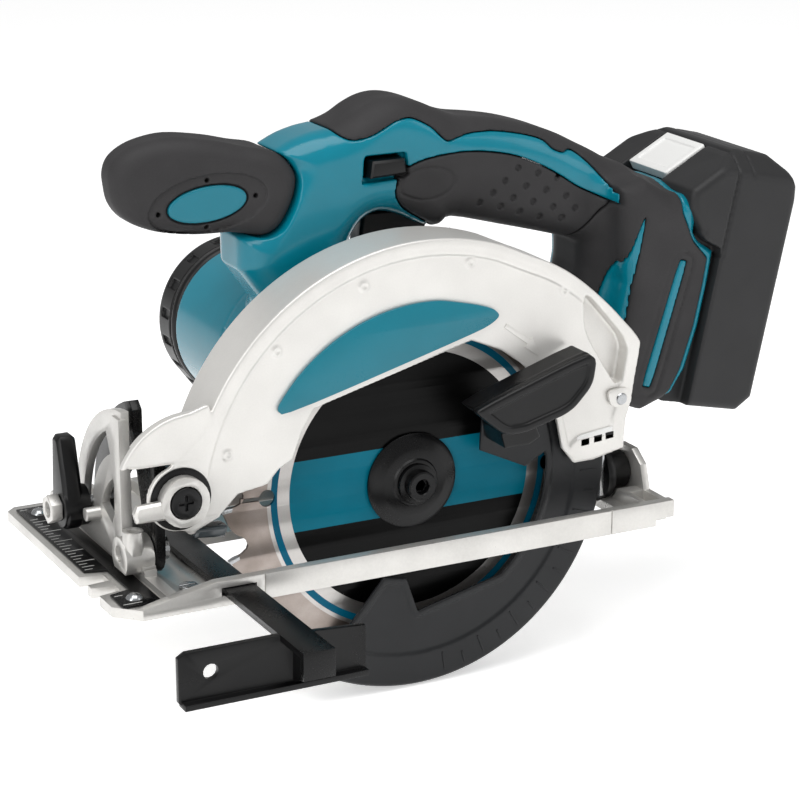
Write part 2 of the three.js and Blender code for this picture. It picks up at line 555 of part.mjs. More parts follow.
const ventSlots = Array.from({ length: 7 }, (_, i) => {
  const z = MOTOR_Z - 18 + 9 * i;
  return box(-45, 8, MOTOR_END - 3, MOTOR_END + 2, z, z + 3.6);
});
piece('motor_end_cover', cut(join(
  cut(stretch(skin(0.4, ...MOTOR_CIRCLES), MOTOR_REAR + GAP, MOTOR_END),
    stretch(skin(-WALL, ...MOTOR_CIRCLES), MOTOR_REAR, MOTOR_END - WALL)),
  tube('Y', MOTOR, 8.3, 10.5, 108.5, MOTOR_END - 1, 20),
), ...ventSlots), FINISH.blackPlastic);

// ---- handle -------------------------------------------------------------------------------

// A lean frame for the battery: v runs out of the tool's back, u runs up along the battery.
function onBattery([v, u]) {
  const [s, c] = [Math.sin(BATTERY.lean), Math.cos(BATTERY.lean)];
  return [BATTERY.x + v * c + u * s, BATTERY.z - v * s + u * c];
}

const handleOutline = [
  [-41, 86], [-50, 98], [-60, 112], [-60, 124.5], [-54, 127.4], [-51.5, 133], [-40.3, 151],
  [-44, 157.5],
  [-28, 164.5], [-14, 163], [5.7, 174.9], [12, 174.2], [26.5, 167.9], [36, 163.2], [48.4, 162.2],
  [71.7, 156.7], [89, 149.5], [110, 137.2], [124, 128.6],
  onBattery([-12, 86]), onBattery([-12, 2]), [113, 36], [96, 33], [60, 33], [20, 36], [0, 50],
];
const handHole = [
  [12, 84], [-11, 98], [-14.5, 116], [-3, 128.5], [8, 126.5], [25, 120.5], [33, 123.8],
  [80, 111.2], [77, 98], [74, 78], [64, 66], [22, 66],
];
const rearFoot = [[104, 128], [124, 128.6], onBattery([-12, 86]), onBattery([-12, 2]), [113, 36],
  [103, 36], [100, 60], [108, 92]];
const hollowTop = [[-8, 133], [-2, 152], [8, 164], [30, 158], [84, 143], [92, 120], [84, 114.5],
  [34, 127.5], [22, 125], [8, 131]];
const hollowFoot = [[100, 125], [118, 120], [108, 46], [92, 44], [84, 52], [92, 100]];
const CHANNEL = [[-31, 2], [-31, 95], [-8, 95], [-8, 2]].map(onBattery);

function handleHalf(low, high, footLow, footHigh) {
  const loop = prism('XZ', handleOutline, low, high).subtract(prism('XZ', handHole, 0, 80));
  const foot = prism('XZ', rearFoot, footLow, footHigh);
  const motorRoom = stretch(skin(GAP, ...MOTOR_CIRCLES), 10, 140);
  const gearRoom = stretch(skin(2.2 + GAP, ...GEAR_CIRCLES), 10, GEARS.high + GAP);
  const leverRoom = box(20, 98, 0, 25, 20, 66);
  return cut(join(loop, foot), motorRoom, gearRoom, leverRoom,
    prism('XZ', hollowTop, HANDLE.near + WALL, HANDLE.far - WALL),
    prism('XZ', hollowFoot, HANDLE.near + WALL, HANDLE.far - WALL),
    prism('XZ', CHANNEL, 17.5, 60.5),
    box(-8, 26, 32, 44, 100, 140),
    prism('XZ', [[-10.5, 143], [-9, 153.5], [8.5, 153.5], [9.5, 144]], 15, 60),
    prism('XZ', CROWN.map(([x, z]) => [x, z - GAP]), 0, 80));
}

const CROWN = [[-30, 167], [-14, 160.4], [-6, 161.5], [5, 166.6], [12, 167], [20, 163],
  [27, 156.4], [38, 158.6], [57, 156.2], [72, 151.5], [90, 143.5], [109, 131.5], [124, 123],
  [140, 140], [90, 170], [12, 190], [-20, 180]];
const crownSkin = prism('XZ', handleOutline, HANDLE.near, HANDLE.far, 3)
  .intersect(prism('XZ', CROWN, 0, 80)).subtract(prism('XZ', CHANNEL, 17.5, 60.5));

piece('handle_left', handleHalf(HANDLE.near, HANDLE.middle - GAP / 2, FOOT.near,
  HANDLE.middle - GAP / 2), FINISH.teal);
const wrenchClip = join(box(40, 48, 55, 62, 31, 34.2), box(40, 48, 55, 62, 38.8, 42));
piece('handle_right', handleHalf(HANDLE.middle + GAP / 2, HANDLE.far, HANDLE.middle + GAP / 2,
  FOOT.far).add(wrenchClip), FINISH.teal);
piece('crown_rubber', crownSkin, FINISH.rubber);

const SIDE_GRIP = [[5.7, 138], [12, 146], [30, 151.5], [56, 149.5], [72, 143], [90, 131], [88, 113],
  [80, 112.5], [33, 125], [24, 121.5], [10, 127.5]];
piece('left_side_grip', prism('XZ', SIDE_GRIP, HANDLE.near - 2.3, HANDLE.near - GAP, 0.8),
  FINISH.rubber);
piece('right_side_grip', prism('XZ', SIDE_GRIP, HANDLE.far + GAP, HANDLE.far + 2.3, 0.8),
  FINISH.rubber);

const FRONT_GRIP = [[-112.5, 153], [-110, 160], [-101, 166], [-89, 168], [-65, 164.5], [-48, 160.5],
  [-43.6, 151], [-54.8, 132.6], [-57, 128], [-76, 126], [-90, 129], [-102, 134.5], [-110.5, 142]];
piece('front_grip', cut(prism('XZ', FRONT_GRIP, HANDLE.near + 0.5, HANDLE.far - 0.5, 6),
  prism('XZ', [[-93, 133], [-60, 133], [-57, 149], [-76, 152], [-93, 146]], 18, 22)),
FINISH.rubber);
piece('front_grip_badge', prism('XZ', [[-92.2, 136], [-85, 133.9], [-66, 134.8], [-60.8, 141],
  [-61.5, 146], [-75.4, 149.8], [-88, 146.5], [-92.2, 141]], 20.6, 21.7), FINISH.teal);

piece('switch_body', box(30, 66, 29, 47, 130, 146), FINISH.blackPlastic);
piece('trigger', join(
  prism('XZ', [[-6, 113.5], [-1, 118], [12, 117.5], [23, 116], [25, 121], [24, 128], [-4, 128]],
    33, 43, 1.2),
  box(12, 22, 35, 41, 126, 136),
), FINISH.blackPlastic);
piece('lock_off_button', join(
  prism('XZ', [[-8, 145], [-7, 151.8], [7, 151.8], [8, 145.6]], 17.5, 36, 1),
  box(-4, 4, 35, 52, 146, 151),
), FINISH.blackPlastic);
piece('battery_terminal', prism('XZ',
  [[-30.4, 70], [-30.4, 80], [-26, 80], [-26, 70]].map(onBattery), 22, 54), FINISH.blackPlastic);

piece('depth_clamp_bolt', join(
  rod('Y', DEPTH_CLAMP, 2.6, 10.8, 23.5, 10),
  rod('Y', DEPTH_CLAMP, 4.6, 22.6, 24.4, 6),
), FINISH.steel);
piece('depth_lever', cut(prism('XZ', [
  ...arc(...clampAt, 7, 100, 260, 6), [80, 38], [86, 42], [84, 48], [60, 44],
], 16.6, 22.2, 1), rod('Y', DEPTH_CLAMP, 2.9, 5, 30, 10)),
FINISH.blackPlastic);

piece('shaft_lock_button', join(
  rod('X', SHAFT_LOCK, 4.5, 28, 33, 14),
  rod('X', SHAFT_LOCK, 2.6, 22.9, 28.5, 12),
), FINISH.blackPlastic);
piece('guard_return_spring', along(Array.from({ length: 17 }, (_, i) => {
  const [x, z] = arc(0, AXIS_Z, 16 + 0.4 * i, 45 * i, 45 * i, 1)[0];
  return [x, 9.75, z];
}), 0.38, 48, 5), FINISH.steel);

piece('hex_wrench', along([[26, 58.7, 36.5], [60, 58.7, 36.5], [84, 58.7, 36.5], [87, 58.7, 38],
  [88, 58.7, 41], [88, 58.7, 58]], 2, 12, 6), FINISH.blackSteel);

// ---- battery ------------------------------------------------------------------------------

const batteryProfile = [[-11.7, -1], [-9, -2.5], [26, -2.5], [32.6, 4], [32.6, 92], [29, 100],
  [20, 105], [2, 105], [-7, 97], [-20, 86.6], [-11.7, 86.6]].map(onBattery);
const railBlock = [[-24, 6], [-24, 66], [-11, 66], [-11, 6]].map(onBattery);
const buttonSeat = [[-19, 79.2], [2.6, 97.5], [-9, 112], [-30, 100]].map(onBattery);

piece('battery_case', cut(join(
  prism('XZ', batteryProfile, BATTERY.near, BATTERY.far, 1.5),
  prism('XZ', railBlock, 18, 60),
),
prism('XZ', [[-6, 6], [-6, 78], [28, 84], [28, 6]].map(onBattery), 8, 72),
box(110, 175, 30, 50, 20, 44),
prism('XZ', buttonSeat, 27, 58)), FINISH.greyPlastic);

piece('battery_button', prism('XZ', [[-17.6, 86.4], [-0.6, 100.6], [-3.8, 104.6], [-20.6, 89.9]]
  .map(onBattery), 28, 57, 1), FINISH.whitePlastic);

const CELL_R = 9;
piece('cell_pack', join(...Array.from({ length: 4 }, (_, i) => {
  const [x, z] = onBattery([11, 17 + i * 17]);
  return rod('Y', [x, 0, z], CELL_R, 10, 70, 16);
})), FINISH.steel);

export default saw;
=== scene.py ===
# The visible model of the cordless circular saw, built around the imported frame.
# Shapes are in millimetres from the point where the sole meets the blade's plane under its axis.
import json
import math

import bmesh
import bpy
import numpy as np
import openvdb
from mathutils import Matrix, Vector

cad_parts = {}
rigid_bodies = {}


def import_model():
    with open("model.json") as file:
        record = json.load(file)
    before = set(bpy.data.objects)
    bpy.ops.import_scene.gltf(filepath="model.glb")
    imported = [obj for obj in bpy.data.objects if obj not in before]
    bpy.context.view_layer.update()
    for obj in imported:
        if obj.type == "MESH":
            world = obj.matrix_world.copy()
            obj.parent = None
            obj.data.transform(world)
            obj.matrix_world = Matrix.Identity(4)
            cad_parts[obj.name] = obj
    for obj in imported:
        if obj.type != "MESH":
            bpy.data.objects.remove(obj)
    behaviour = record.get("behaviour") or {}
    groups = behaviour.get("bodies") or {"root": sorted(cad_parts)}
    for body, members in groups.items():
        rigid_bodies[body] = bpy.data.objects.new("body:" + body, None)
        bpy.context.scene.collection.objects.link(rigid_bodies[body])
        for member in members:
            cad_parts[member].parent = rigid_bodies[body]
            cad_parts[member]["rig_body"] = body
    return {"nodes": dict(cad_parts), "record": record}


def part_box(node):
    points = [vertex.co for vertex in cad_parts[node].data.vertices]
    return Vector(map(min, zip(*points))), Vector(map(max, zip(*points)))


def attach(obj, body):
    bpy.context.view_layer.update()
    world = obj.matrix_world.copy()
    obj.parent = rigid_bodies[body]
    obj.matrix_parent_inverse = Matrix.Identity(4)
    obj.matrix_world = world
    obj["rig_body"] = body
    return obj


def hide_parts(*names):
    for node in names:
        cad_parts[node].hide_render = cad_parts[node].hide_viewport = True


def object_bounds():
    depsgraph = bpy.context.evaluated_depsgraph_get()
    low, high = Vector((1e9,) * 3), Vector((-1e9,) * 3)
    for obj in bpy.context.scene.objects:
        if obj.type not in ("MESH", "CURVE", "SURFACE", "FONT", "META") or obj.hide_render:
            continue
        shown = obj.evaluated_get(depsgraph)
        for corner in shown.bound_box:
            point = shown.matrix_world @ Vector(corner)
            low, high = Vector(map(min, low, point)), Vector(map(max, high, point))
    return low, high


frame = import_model()
cad_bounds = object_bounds()
NODES = frame["nodes"]


def centre(node):
    low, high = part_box(node)
    return (low + high) / 2


AXIS = centre("blade")
ORIGIN_Y = AXIS.y
AXIS_Z = AXIS.z * 1000
MM = 0.001
SPINDLE = (0, AXIS_Z)


# ---- materials ------------------------------------------------------------------------------

def linear(colour):
    return tuple((c / 255 / 12.92 if c < 10.3 else ((c / 255 + 0.055) / 1.055) ** 2.4) for c in colour) + (1,)


class Finish:
    """A material whose colour, roughness and bump all come from noise in the piece's own space."""

    def __init__(self, name, colour, rough, metal=0.0, coat=0.0, gloss=0.5):
        self.material = bpy.data.materials.new(name)
        self.material.use_nodes = True
        self.tree = self.material.node_tree
        self.shader = self.tree.nodes["Principled BSDF"]
        self.shader.inputs["Metallic"].default_value = metal
        self.shader.inputs["Coat Weight"].default_value = coat
        self.shader.inputs["Coat Roughness"].default_value = 0.12
        self.shader.inputs["Specular IOR Level"].default_value = gloss
        self.space = self.add("ShaderNodeTexCoord").outputs["Object"]
        self.colour = linear(colour)
        self.rough = rough

    def add(self, kind, **values):
        node = self.tree.nodes.new(kind)
        for key, value in values.items():
            setattr(node, key, value)
        return node

    def link(self, a, b):
        self.tree.links.new(a, b)

    def math(self, operation, *values):
        node = self.add("ShaderNodeMath", operation=operation)
        for socket, value in zip(node.inputs, values):
            if isinstance(value, (int, float)):
                socket.default_value = value
            else:
                self.link(value, socket)
        return node.outputs[0]

    def noise(self, per_mm, detail=4.0, stretch=None):
        node = self.add("ShaderNodeTexNoise")
        node.inputs["Scale"].default_value = per_mm * 1000
        node.inputs["Detail"].default_value = detail
        where = self.space
        if stretch:
            mapping = self.add("ShaderNodeMapping")
            mapping.inputs["Scale"].default_value = stretch
            self.link(self.space, mapping.inputs["Vector"])
            where = mapping.outputs["Vector"]
        self.link(where, node.inputs["Vector"])
        return node.outputs["Fac"]

    def between(self, fac, low, high):
        node = self.add("ShaderNodeMapRange")
        node.inputs["From Min"].default_value = 0.3
        node.inputs["From Max"].default_value = 0.7
        node.inputs["To Min"].default_value = low
        node.inputs["To Max"].default_value = high
        self.link(fac, node.inputs["Value"])
        return node.outputs["Result"]

    def mix(self, fac, a, b):
        node = self.add("ShaderNodeMix", data_type="RGBA")
        self.link(fac, node.inputs["Factor"])
        for socket, value in ((node.inputs["A"], a), (node.inputs["B"], b)):
            if isinstance(value, tuple):
                socket.default_value = value
            else:
                self.link(value, socket)
        return node.outputs["Result"]

    def finish(self, grain, depth, tone=0.1, rough_range=0.08, base=None, stretch=None, broad=0.05):
        """Grain in cycles per mm and its depth in mm; tone is how far the colour wanders."""
        fine = self.noise(grain, 6.0, stretch)
        wide = self.noise(broad, 3.0)
        dim = self.add("ShaderNodeMix", data_type="RGBA", blend_type="MULTIPLY")
        self.link(self.between(wide, 0.0, 1.0), dim.inputs["Factor"])
        if base is None:
            dim.inputs["A"].default_value = self.colour
        else:
            self.link(base, dim.inputs["A"])
        dim.inputs["B"].default_value = (1 - tone, 1 - tone, 1 - tone, 1)
        speck = self.add("ShaderNodeMix", data_type="RGBA", blend_type="MULTIPLY")
        self.link(self.between(fine, 0.0, 1.0), speck.inputs["Factor"])
        self.link(dim.outputs["Result"], speck.inputs["A"])
        speck.inputs["B"].default_value = (1 - tone / 2, 1 - tone / 2, 1 - tone / 2, 1)
        self.link(speck.outputs["Result"], self.shader.inputs["Base Color"])
        both = self.math("ADD", self.math("MULTIPLY", wide, 0.6), self.math("MULTIPLY", fine, 0.4))
        self.link(self.between(both, self.rough - rough_range, self.rough + rough_range),
                  self.shader.inputs["Roughness"])
        bump = self.add("ShaderNodeBump")
        bump.inputs["Strength"].default_value = 0.6
        bump.inputs["Distance"].default_value = depth * MM
        self.link(fine, bump.inputs["Height"])
        self.link(bump.outputs["Normal"], self.shader.inputs["Normal"])
        return self.material


CAST = Finish("cast_alloy", (224, 222, 218), 0.38, 0.45).finish(1.4, 0.03, 0.06)
BASE_CAST = Finish("base_alloy", (212, 210, 206), 0.34, 0.7).finish(1.1, 0.04, 0.1)
TEAL = Finish("teal_housing", (0, 122, 142), 0.22, coat=0.3, gloss=0.25).finish(3.0, 0.005, 0.1, 0.05)
TEAL_MARK = Finish("teal_badge", (18, 116, 134), 0.3, coat=0.15, gloss=0.3).finish(3.0, 0.006, 0.08, 0.05)
RUBBER = Finish("grip_rubber", (54, 53, 54), 0.62, gloss=0.22).finish(2.2, 0.05, 0.16, 0.08)
BLACK = Finish("black_plastic", (13, 13, 14), 0.34, gloss=0.3).finish(2.6, 0.02, 0.14)
GREY = Finish("guard_plastic", (28, 29, 31), 0.4, gloss=0.3).finish(2.0, 0.03, 0.14)
SHELL = Finish("battery_shell", (42, 42, 43), 0.48, gloss=0.28).finish(2.4, 0.03, 0.12, 0.06)
WHITE = Finish("white_plastic", (232, 232, 230), 0.35).finish(2.4, 0.008, 0.03)
BLACK_STEEL = Finish("black_steel", (10, 10, 11), 0.3, 0.1, gloss=0.28).finish(1.6, 0.008, 0.08)
STEEL = Finish("bright_steel", (180, 182, 184), 0.26, 1.0).finish(5.0, 0.006, 0.1, stretch=(1, 1, 0.06))
COPPER = Finish("copper", (196, 120, 78), 0.3, 1.0).finish(5.0, 0.008, 0.15, stretch=(1, 1, 0.1))
LENS = Finish("lamp_plastic", (70, 78, 82), 0.16, coat=0.6).finish(1.0, 0.01, 0.2)
MARKS = Finish("white_marks", (215, 215, 212), 0.4).finish(3.0, 0.004, 0.05)


# ---- shapes from distance fields ------------------------------------------------------------

class Space:
    """A block of space, sampled on a grid."""

    def __init__(self, low, high, step):
        self.low = np.array(low, float)
        self.step = step
        counts = np.ceil((np.array(high, float) - self.low) / step).astype(int) + 1
        axes = [(l + step * np.arange(n)).astype(np.float32) for l, n in zip(self.low, counts)]
        self.x, self.y, self.z = np.meshgrid(*axes, indexing="ij", sparse=True)

    def outline(self, points):
        """The distance outside a closed outline that is drawn in X and Z."""
        a, b = self.x, self.z
        best = np.full(np.broadcast(a, b).shape, 1e12, np.float32)
        inside = np.zeros(best.shape, bool)
        for (ax, ay), (bx, by) in zip(points, points[1:] + points[:1]):
            ex, ey = bx - ax, by - ay
            length = ex * ex + ey * ey
            if length < 1e-9:
                continue
            t = np.clip(((a - ax) * ex + (b - ay) * ey) / length, 0, 1)
            best = np.minimum(best, (a - ax - ex * t) ** 2 + (b - ay - ey * t) ** 2)
            if ay != by:
                inside ^= ((ay > b) != (by > b)) & (a < ex * (b - ay) / (by - ay) + ax)
        return np.where(inside, -1, 1) * np.sqrt(best)

    def rod(self, at, radius):
        """A round bar along Y, through a point given in X and Z."""
        return np.hypot(self.x - at[0], self.z - at[1]) - radius

    def hull(self, first, second):
        """The skin round two circles that stand across Y."""
        (ax, az, ar), (bx, bz, br) = first, second
        h = math.hypot(bx - ax, bz - az)
        ux, uz = (bx - ax) / h, (bz - az) / h
        along = (self.x - ax) * ux + (self.z - az) * uz
        across = np.abs((self.x - ax) * uz - (self.z - az) * ux)
        s = (ar - br) / h
        c = math.sqrt(1 - s * s)
        k = along * c - across * s
        middle = across * c + along * s - ar
        return np.where(k < 0, np.hypot(across, along) - ar,
                        np.where(k > c * h, np.hypot(across, along - h) - br, middle))


def slab(t, low, high):
    return np.abs(t - (low + high) / 2) - (high - low) / 2


def both(a, b, r=0.0):
    """Where a and b overlap, with an edge of radius r."""
    if r == 0:
        return np.maximum(a, b)
    return np.minimum(np.maximum(a, b), -r) + np.hypot(np.maximum(a + r, 0), np.maximum(b + r, 0))


def either(a, b, r=0.0):
    return -both(-a, -b, r)


def blend(a, b, r):
    """Either of them, flowing into each other over r."""
    h = np.clip(0.5 + 0.5 * (b - a) / r, 0, 1)
    return b + (a - b) * h - r * h * (1 - h)


def less(a, b, r=0.0):
    return both(a, -b, r)


def carve(body, mark, depth):
    """Sinks a mark into the skin of a body, to a depth."""
    return np.maximum(body, -np.maximum(mark, -(body + depth)))


def curve(points, steps=5, closed=True):
    """A smooth line through the points."""
    count = len(points)
    line = []
    for i in range(count if closed else count - 1):
        p = []
        for k in range(i - 1, i + 3):
            p.append(np.array(points[k % count if closed else min(max(k, 0), count - 1)], float))
        for s in range(steps):
            t = s / steps
            line.append(tuple(0.5 * (2 * p[1] + (p[2] - p[0]) * t
                                     + (2 * p[0] - 5 * p[1] + 4 * p[2] - p[3]) * t * t
                                     + (3 * p[1] - p[0] - 3 * p[2] + p[3]) * t ** 3)))
    return line if closed else line + [tuple(points[-1])]


def worn(points, passes=2, ratio=0.2):
    """The outline with its corners cut round."""
    for _ in range(passes):
        points = [tuple((1 - k) * np.array(p) + k * np.array(q))
                  for p, q in zip(points, points[1:] + points[:1]) for k in (ratio, 1 - ratio)]
    return points


def arc(a, b, radius, start, end, steps):
    return [(a + radius * math.cos(math.radians(start + (end - start) * i / steps)),
             b + radius * math.sin(math.radians(start + (end - start) * i / steps)))
            for i in range(steps + 1)]


def to_row(points):
    points = np.array(points, float) * MM
    points[:, 1] += ORIGIN_Y
    return points


def add_piece(name, mesh, material, body, stands_for=(), origin=None):
    piece = bpy.data.objects.new(name, mesh)
    bpy.context.scene.collection.objects.link(piece)
    if origin is not None:
        mesh.transform(Matrix.Translation(-Vector(origin)))
        piece.location = origin
    mesh.materials.clear()
    mesh.materials.append(material)
    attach(piece, body)
    if stands_for:
        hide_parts(*stands_for)
    return piece


def skin_mesh(name, space, field):
    limit = 3 * space.step
    grid = openvdb.FloatGrid(limit)
    values = np.clip(np.broadcast_to(field, np.broadcast(space.x, space.y, space.z).shape), -limit, limit)
    grid.copyFromArray(np.ascontiguousarray(values, dtype=np.float32))
    points, quads = grid.convertToQuads()
    points = to_row(points * space.step + space.low)
    mesh = bpy.data.meshes.new(name)
    mesh.vertices.add(len(points))
    mesh.vertices.foreach_set("co", points.astype(np.float32).ravel())
    mesh.loops.add(len(quads) * 4)
    mesh.loops.foreach_set("vertex_index", quads.astype(np.int32).ravel())
    mesh.polygons.add(len(quads))
    mesh.polygons.foreach_set("loop_start", np.arange(0, len(quads) * 4, 4, dtype=np.int32))
    mesh.update(calc_edges=True)
    mesh.validate()
    p = points[quads]
    volume = np.einsum("ij,ij->i", p[:, 0], np.cross(p[:, 1], p[:, 2]))
    volume += np.einsum("ij,ij->i", p[:, 0], np.cross(p[:, 2], p[:, 3]))
    if volume.sum() < 0:
        mesh.flip_normals()
    mesh.polygons.foreach_set("use_smooth", np.ones(len(mesh.polygons), bool))
    return mesh


def grown(name, space, field, material, body, stands_for=()):
    return add_piece(name, skin_mesh(name, space, field), material, body, stands_for)


# ---- shapes from outlines -------------------------------------------------------------------

PLANES = {
    "XZ": Matrix(((1, 0, 0, 0), (0, 0, -1, 0), (0, 1, 0, 0), (0, 0, 0, 1))),
    "XY": Matrix.Identity(4),
}


def plate_mesh(name, loops, low, high, edge=0.3, plane="XZ"):
    """Flat outlines and holes, pulled out from low to high with rounded edges."""
    data = bpy.data.curves.new(name, "CURVE")
    data.dimensions = "2D"
    data.fill_mode = "BOTH"
    for loop in loops:
        spline = data.splines.new("POLY")
        spline.points.add(len(loop) - 1)
        for point, (a, b) in zip(spline.points, loop):
            point.co = (a, b, 0, 1)
        spline.use_cyclic_u = True
    data.extrude = (high - low) / 2 - edge
    data.bevel_depth = edge
    data.bevel_resolution = 1
    data.offset = -edge
    holder = bpy.data.objects.new(name, data)
    bpy.context.scene.collection.objects.link(holder)
    bpy.context.view_layer.update()
    mesh = bpy.data.meshes.new_from_object(holder.evaluated_get(bpy.context.evaluated_depsgraph_get()))
    bpy.data.objects.remove(holder)
    middle = (low + high) / 2
    mesh.transform(PLANES[plane])
    shift = {"XZ": (0, middle, 0), "XY": (0, 0, middle)}[plane]
    mesh.transform(Matrix.Translation(shift))
    mesh.transform(Matrix.Translation((0, ORIGIN_Y, 0)) @ Matrix.Scale(MM, 4))
    tidy(mesh)
    return mesh


def tidy(mesh, angle=35):
    work = bmesh.new()
    work.from_mesh(mesh)
    bmesh.ops.remove_doubles(work, verts=work.verts, dist=1e-6)
    bmesh.ops.recalc_face_normals(work, faces=work.faces)
    work.to_mesh(mesh)
    work.free()
    mesh.polygons.foreach_set("use_smooth", np.ones(len(mesh.polygons), bool))
    mesh.set_sharp_from_angle(angle=math.radians(angle))


def plate(name, loops, low, high, material, body, stands_for=(), edge=0.3, plane="XZ"):
    return add_piece(name, plate_mesh(name, loops, low, high, edge, plane), material, body, stands_for)


def turned(name, axis, at, profile, material, body, stands_for=(), sides=96):
    """A profile of (radius, distance along the axis), turned about Y or Z through a point."""
    work = bmesh.new()
    rings = []
    for radius, along in profile:
        ring = []
        for i in range(sides if radius > 0 else 1):
            turn = 2 * math.pi * i / sides
            a, b = radius * math.cos(turn), radius * math.sin(turn)
            where = {"Y": (a, along, b), "Z": (a, b, along)}[axis]
            ring.append(work.verts.new(where))
        rings.append(ring)
    for first, second in zip(rings, rings[1:]):
        for i in range(sides):
            corners = [first[i % len(first)], first[(i + 1) % len(first)],
                       second[(i + 1) % len(second)], second[i % len(second)]]
            unique = list(dict.fromkeys(corners))
            if len(unique) > 2:
                work.faces.new(unique)
    mesh = bpy.data.meshes.new(name)
    work.to_mesh(mesh)
    work.free()
    mesh.transform(Matrix.Translation(at))
    mesh.transform(Matrix.Translation((0, ORIGIN_Y, 0)) @ Matrix.Scale(MM, 4))
    tidy(mesh, 30)
    return add_piece(name, mesh, material, body, stands_for)


def refined(node, material, width, segments=2):
    """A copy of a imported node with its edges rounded."""
    mesh = NODES[node].data.copy()
    work = bmesh.new()
    work.from_mesh(mesh)
    bmesh.ops.remove_doubles(work, verts=work.verts, dist=2e-6)
    bmesh.ops.dissolve_limit(work, angle_limit=math.radians(1.5), verts=work.verts, edges=work.edges)
    work.to_mesh(mesh)
    work.free()
    piece = add_piece(node + "_fine", mesh, material, NODES[node]["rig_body"], (node,))
    bevel = piece.modifiers.new("edges", "BEVEL")
    bevel.width = width * MM
    bevel.segments = segments
    bevel.limit_method = "ANGLE"
    bevel.angle_limit = math.radians(30)
    bevel.harden_normals = False
    bpy.context.view_layer.update()
    final = bpy.data.meshes.new_from_object(piece.evaluated_get(bpy.context.evaluated_depsgraph_get()))
    piece.modifiers.clear()
    piece.data = final
    tidy(final, 35)
    return piece


# ---- upper guard ----------------------------------------------------------------------------

def circle(x, z, radius, steps=24):
    return arc(x, z, radius, 0, 360 - 360 / steps, steps - 1)


DEPTH = (-104.0, 38.0)
REAR_EDGE = curve([(47.5, 114.6), (59, 109.4), (69.5, 102.6), (81, 92.8), (91, 82.6), (97.8, 74.6),
                   (98.6, 70.5), (96.6, 58.5), (94.9, 48), (92.7, 40.5)], 5, False)
GUARD_TOP = arc(*DEPTH, 13, 240, 155, 8) + arc(*SPINDLE, 101, 158, 70, 38) + REAR_EDGE
GUARD_EDGE = [
    (92, 28.5), (78, 25.5), (68.5, 25.5), (63, 32.5), (60.2, 45), (54, 60), (43.7, 70.8),
    (34.5, 77.5), (21, 83.3), (-47.9, 65.1), (-52.8, 56.6), (-56.9, 46), (-62.4, 43.2),
    (-67.9, 37.5), (-79.8, 35.7), (-87.9, 28), (-98.5, 23.5)]
OUTER = arc(*SPINDLE, 101, 178, 70, 42) + REAR_EDGE + [(92, 29.5), (72, 29.5), (72, 22), (-100, 22)]
HOLLOW = arc(*SPINDLE, 98, 178, 62, 44) + [
    (52, 110), (66, 98), (71.5, 82), (87.5, 52), (90, 40), (90, 0), (-97, 0)]
WING = [(-94, 52), (-123.5, 52), (-126, 54.4)] + arc(-99, 40, 31, 150, 92, 8) + [(-90, 74)]
CHUTE = [(69.8, 100.9), (95, 73), (91.8, 55.2), (88.5, 53.9), (71.4, 80.4)]
POCKET_LINE = worn([(82 + (x - 82) * 0.86, 76 + (z - 76) * 0.9) for x, z in CHUTE], 2, 0.15)


def guard_field(s):
    outer = s.outline(OUTER)
    face = s.outline(GUARD_TOP + GUARD_EDGE)
    body = both(outer, slab(s.y, -13, 13), 3.2)
    body = less(body, both(s.outline(HOLLOW), s.y - 10.5))
    lobe = both(s.rod(DEPTH, 13), slab(s.y, -13, -10.5))
    wall = both(face, slab(s.y, -13, -10.3), 0.9)
    body = either(body, either(wall, lobe), 0.4)
    recess = both(np.maximum(outer + 6.6, face + 0.2), s.y + 12.1)
    body = less(body, recess, 0.5)
    ridge = both(np.abs(face + 1.4) - 1.4, slab(s.y, -13, -10.5), 0.6)
    body = either(body, np.maximum(ridge, s.z - 48 - 0.35 * s.x))
    wing = both(s.outline(worn(WING, 2, 0.15)), slab(s.y, -13, -10.0), 0.8)
    lip = both(np.abs(s.rod((-99, 40), 30.0)) - 1.0, slab(s.y, -13, -8.5), 0.6)
    lip = np.maximum(lip, np.maximum(s.x + 96, 52.5 - s.z))
    body = either(body, either(wing, lip), 0.5)
    pocket = s.outline(POCKET_LINE)
    body = less(body, both(pocket, s.y + 6.6, 0.8), 0.6)
    body = either(body, both(s.outline(CHUTE), slab(s.y, -6.6, -4.6)))
    rim = both(np.abs(pocket - 1.2) - 1.1, slab(s.y, -13, -11.2), 0.7)
    body = either(body, np.maximum(rim, 85 - s.x - (s.z - 76) * 0.2), 0.4)
    body = less(body, both(s.rod(DEPTH, 10.3), slab(s.y, -10, 3.8)))
    way = np.maximum(slab(s.x, -130, -104), slab(s.z, 20, 60))
    body = less(body, np.maximum(way, slab(s.y, -9.8, 3.8)))
    body = less(body, s.rod(DEPTH, 5.3))
    body = less(body, both(s.rod(SPINDLE, 14.8), s.y * -1 + 5))
    for at in ((-26, 111), (-63, 90), (20, 115), (62.5, 98.5), (-84, 52)):
        mark = both(np.abs(s.rod(at, 1.5)) - 0.45, slab(s.y, -12.55, -11))
        body = either(body, mark, 0.3)
    return body


guard_space = Space((-129, -15, 20), (100.5, 15, 129), 0.62)
grown("upper_guard", guard_space, guard_field(guard_space), CAST, "saw", ("blade_case",))

BADGE = [(-64, 67.5), (-61, 64.4), (23.5, 87.2), (30, 90), (32.9, 92.6), (30, 95.6), (23, 98)] + arc(
    *SPINDLE, 76.5, 84, 138, 14)
badge = worn(BADGE, 2, 0.2)
plate("guard_badge_face", [badge], -13.75, -12.2, TEAL_MARK, "saw", ("guard_badge",), 0.3)

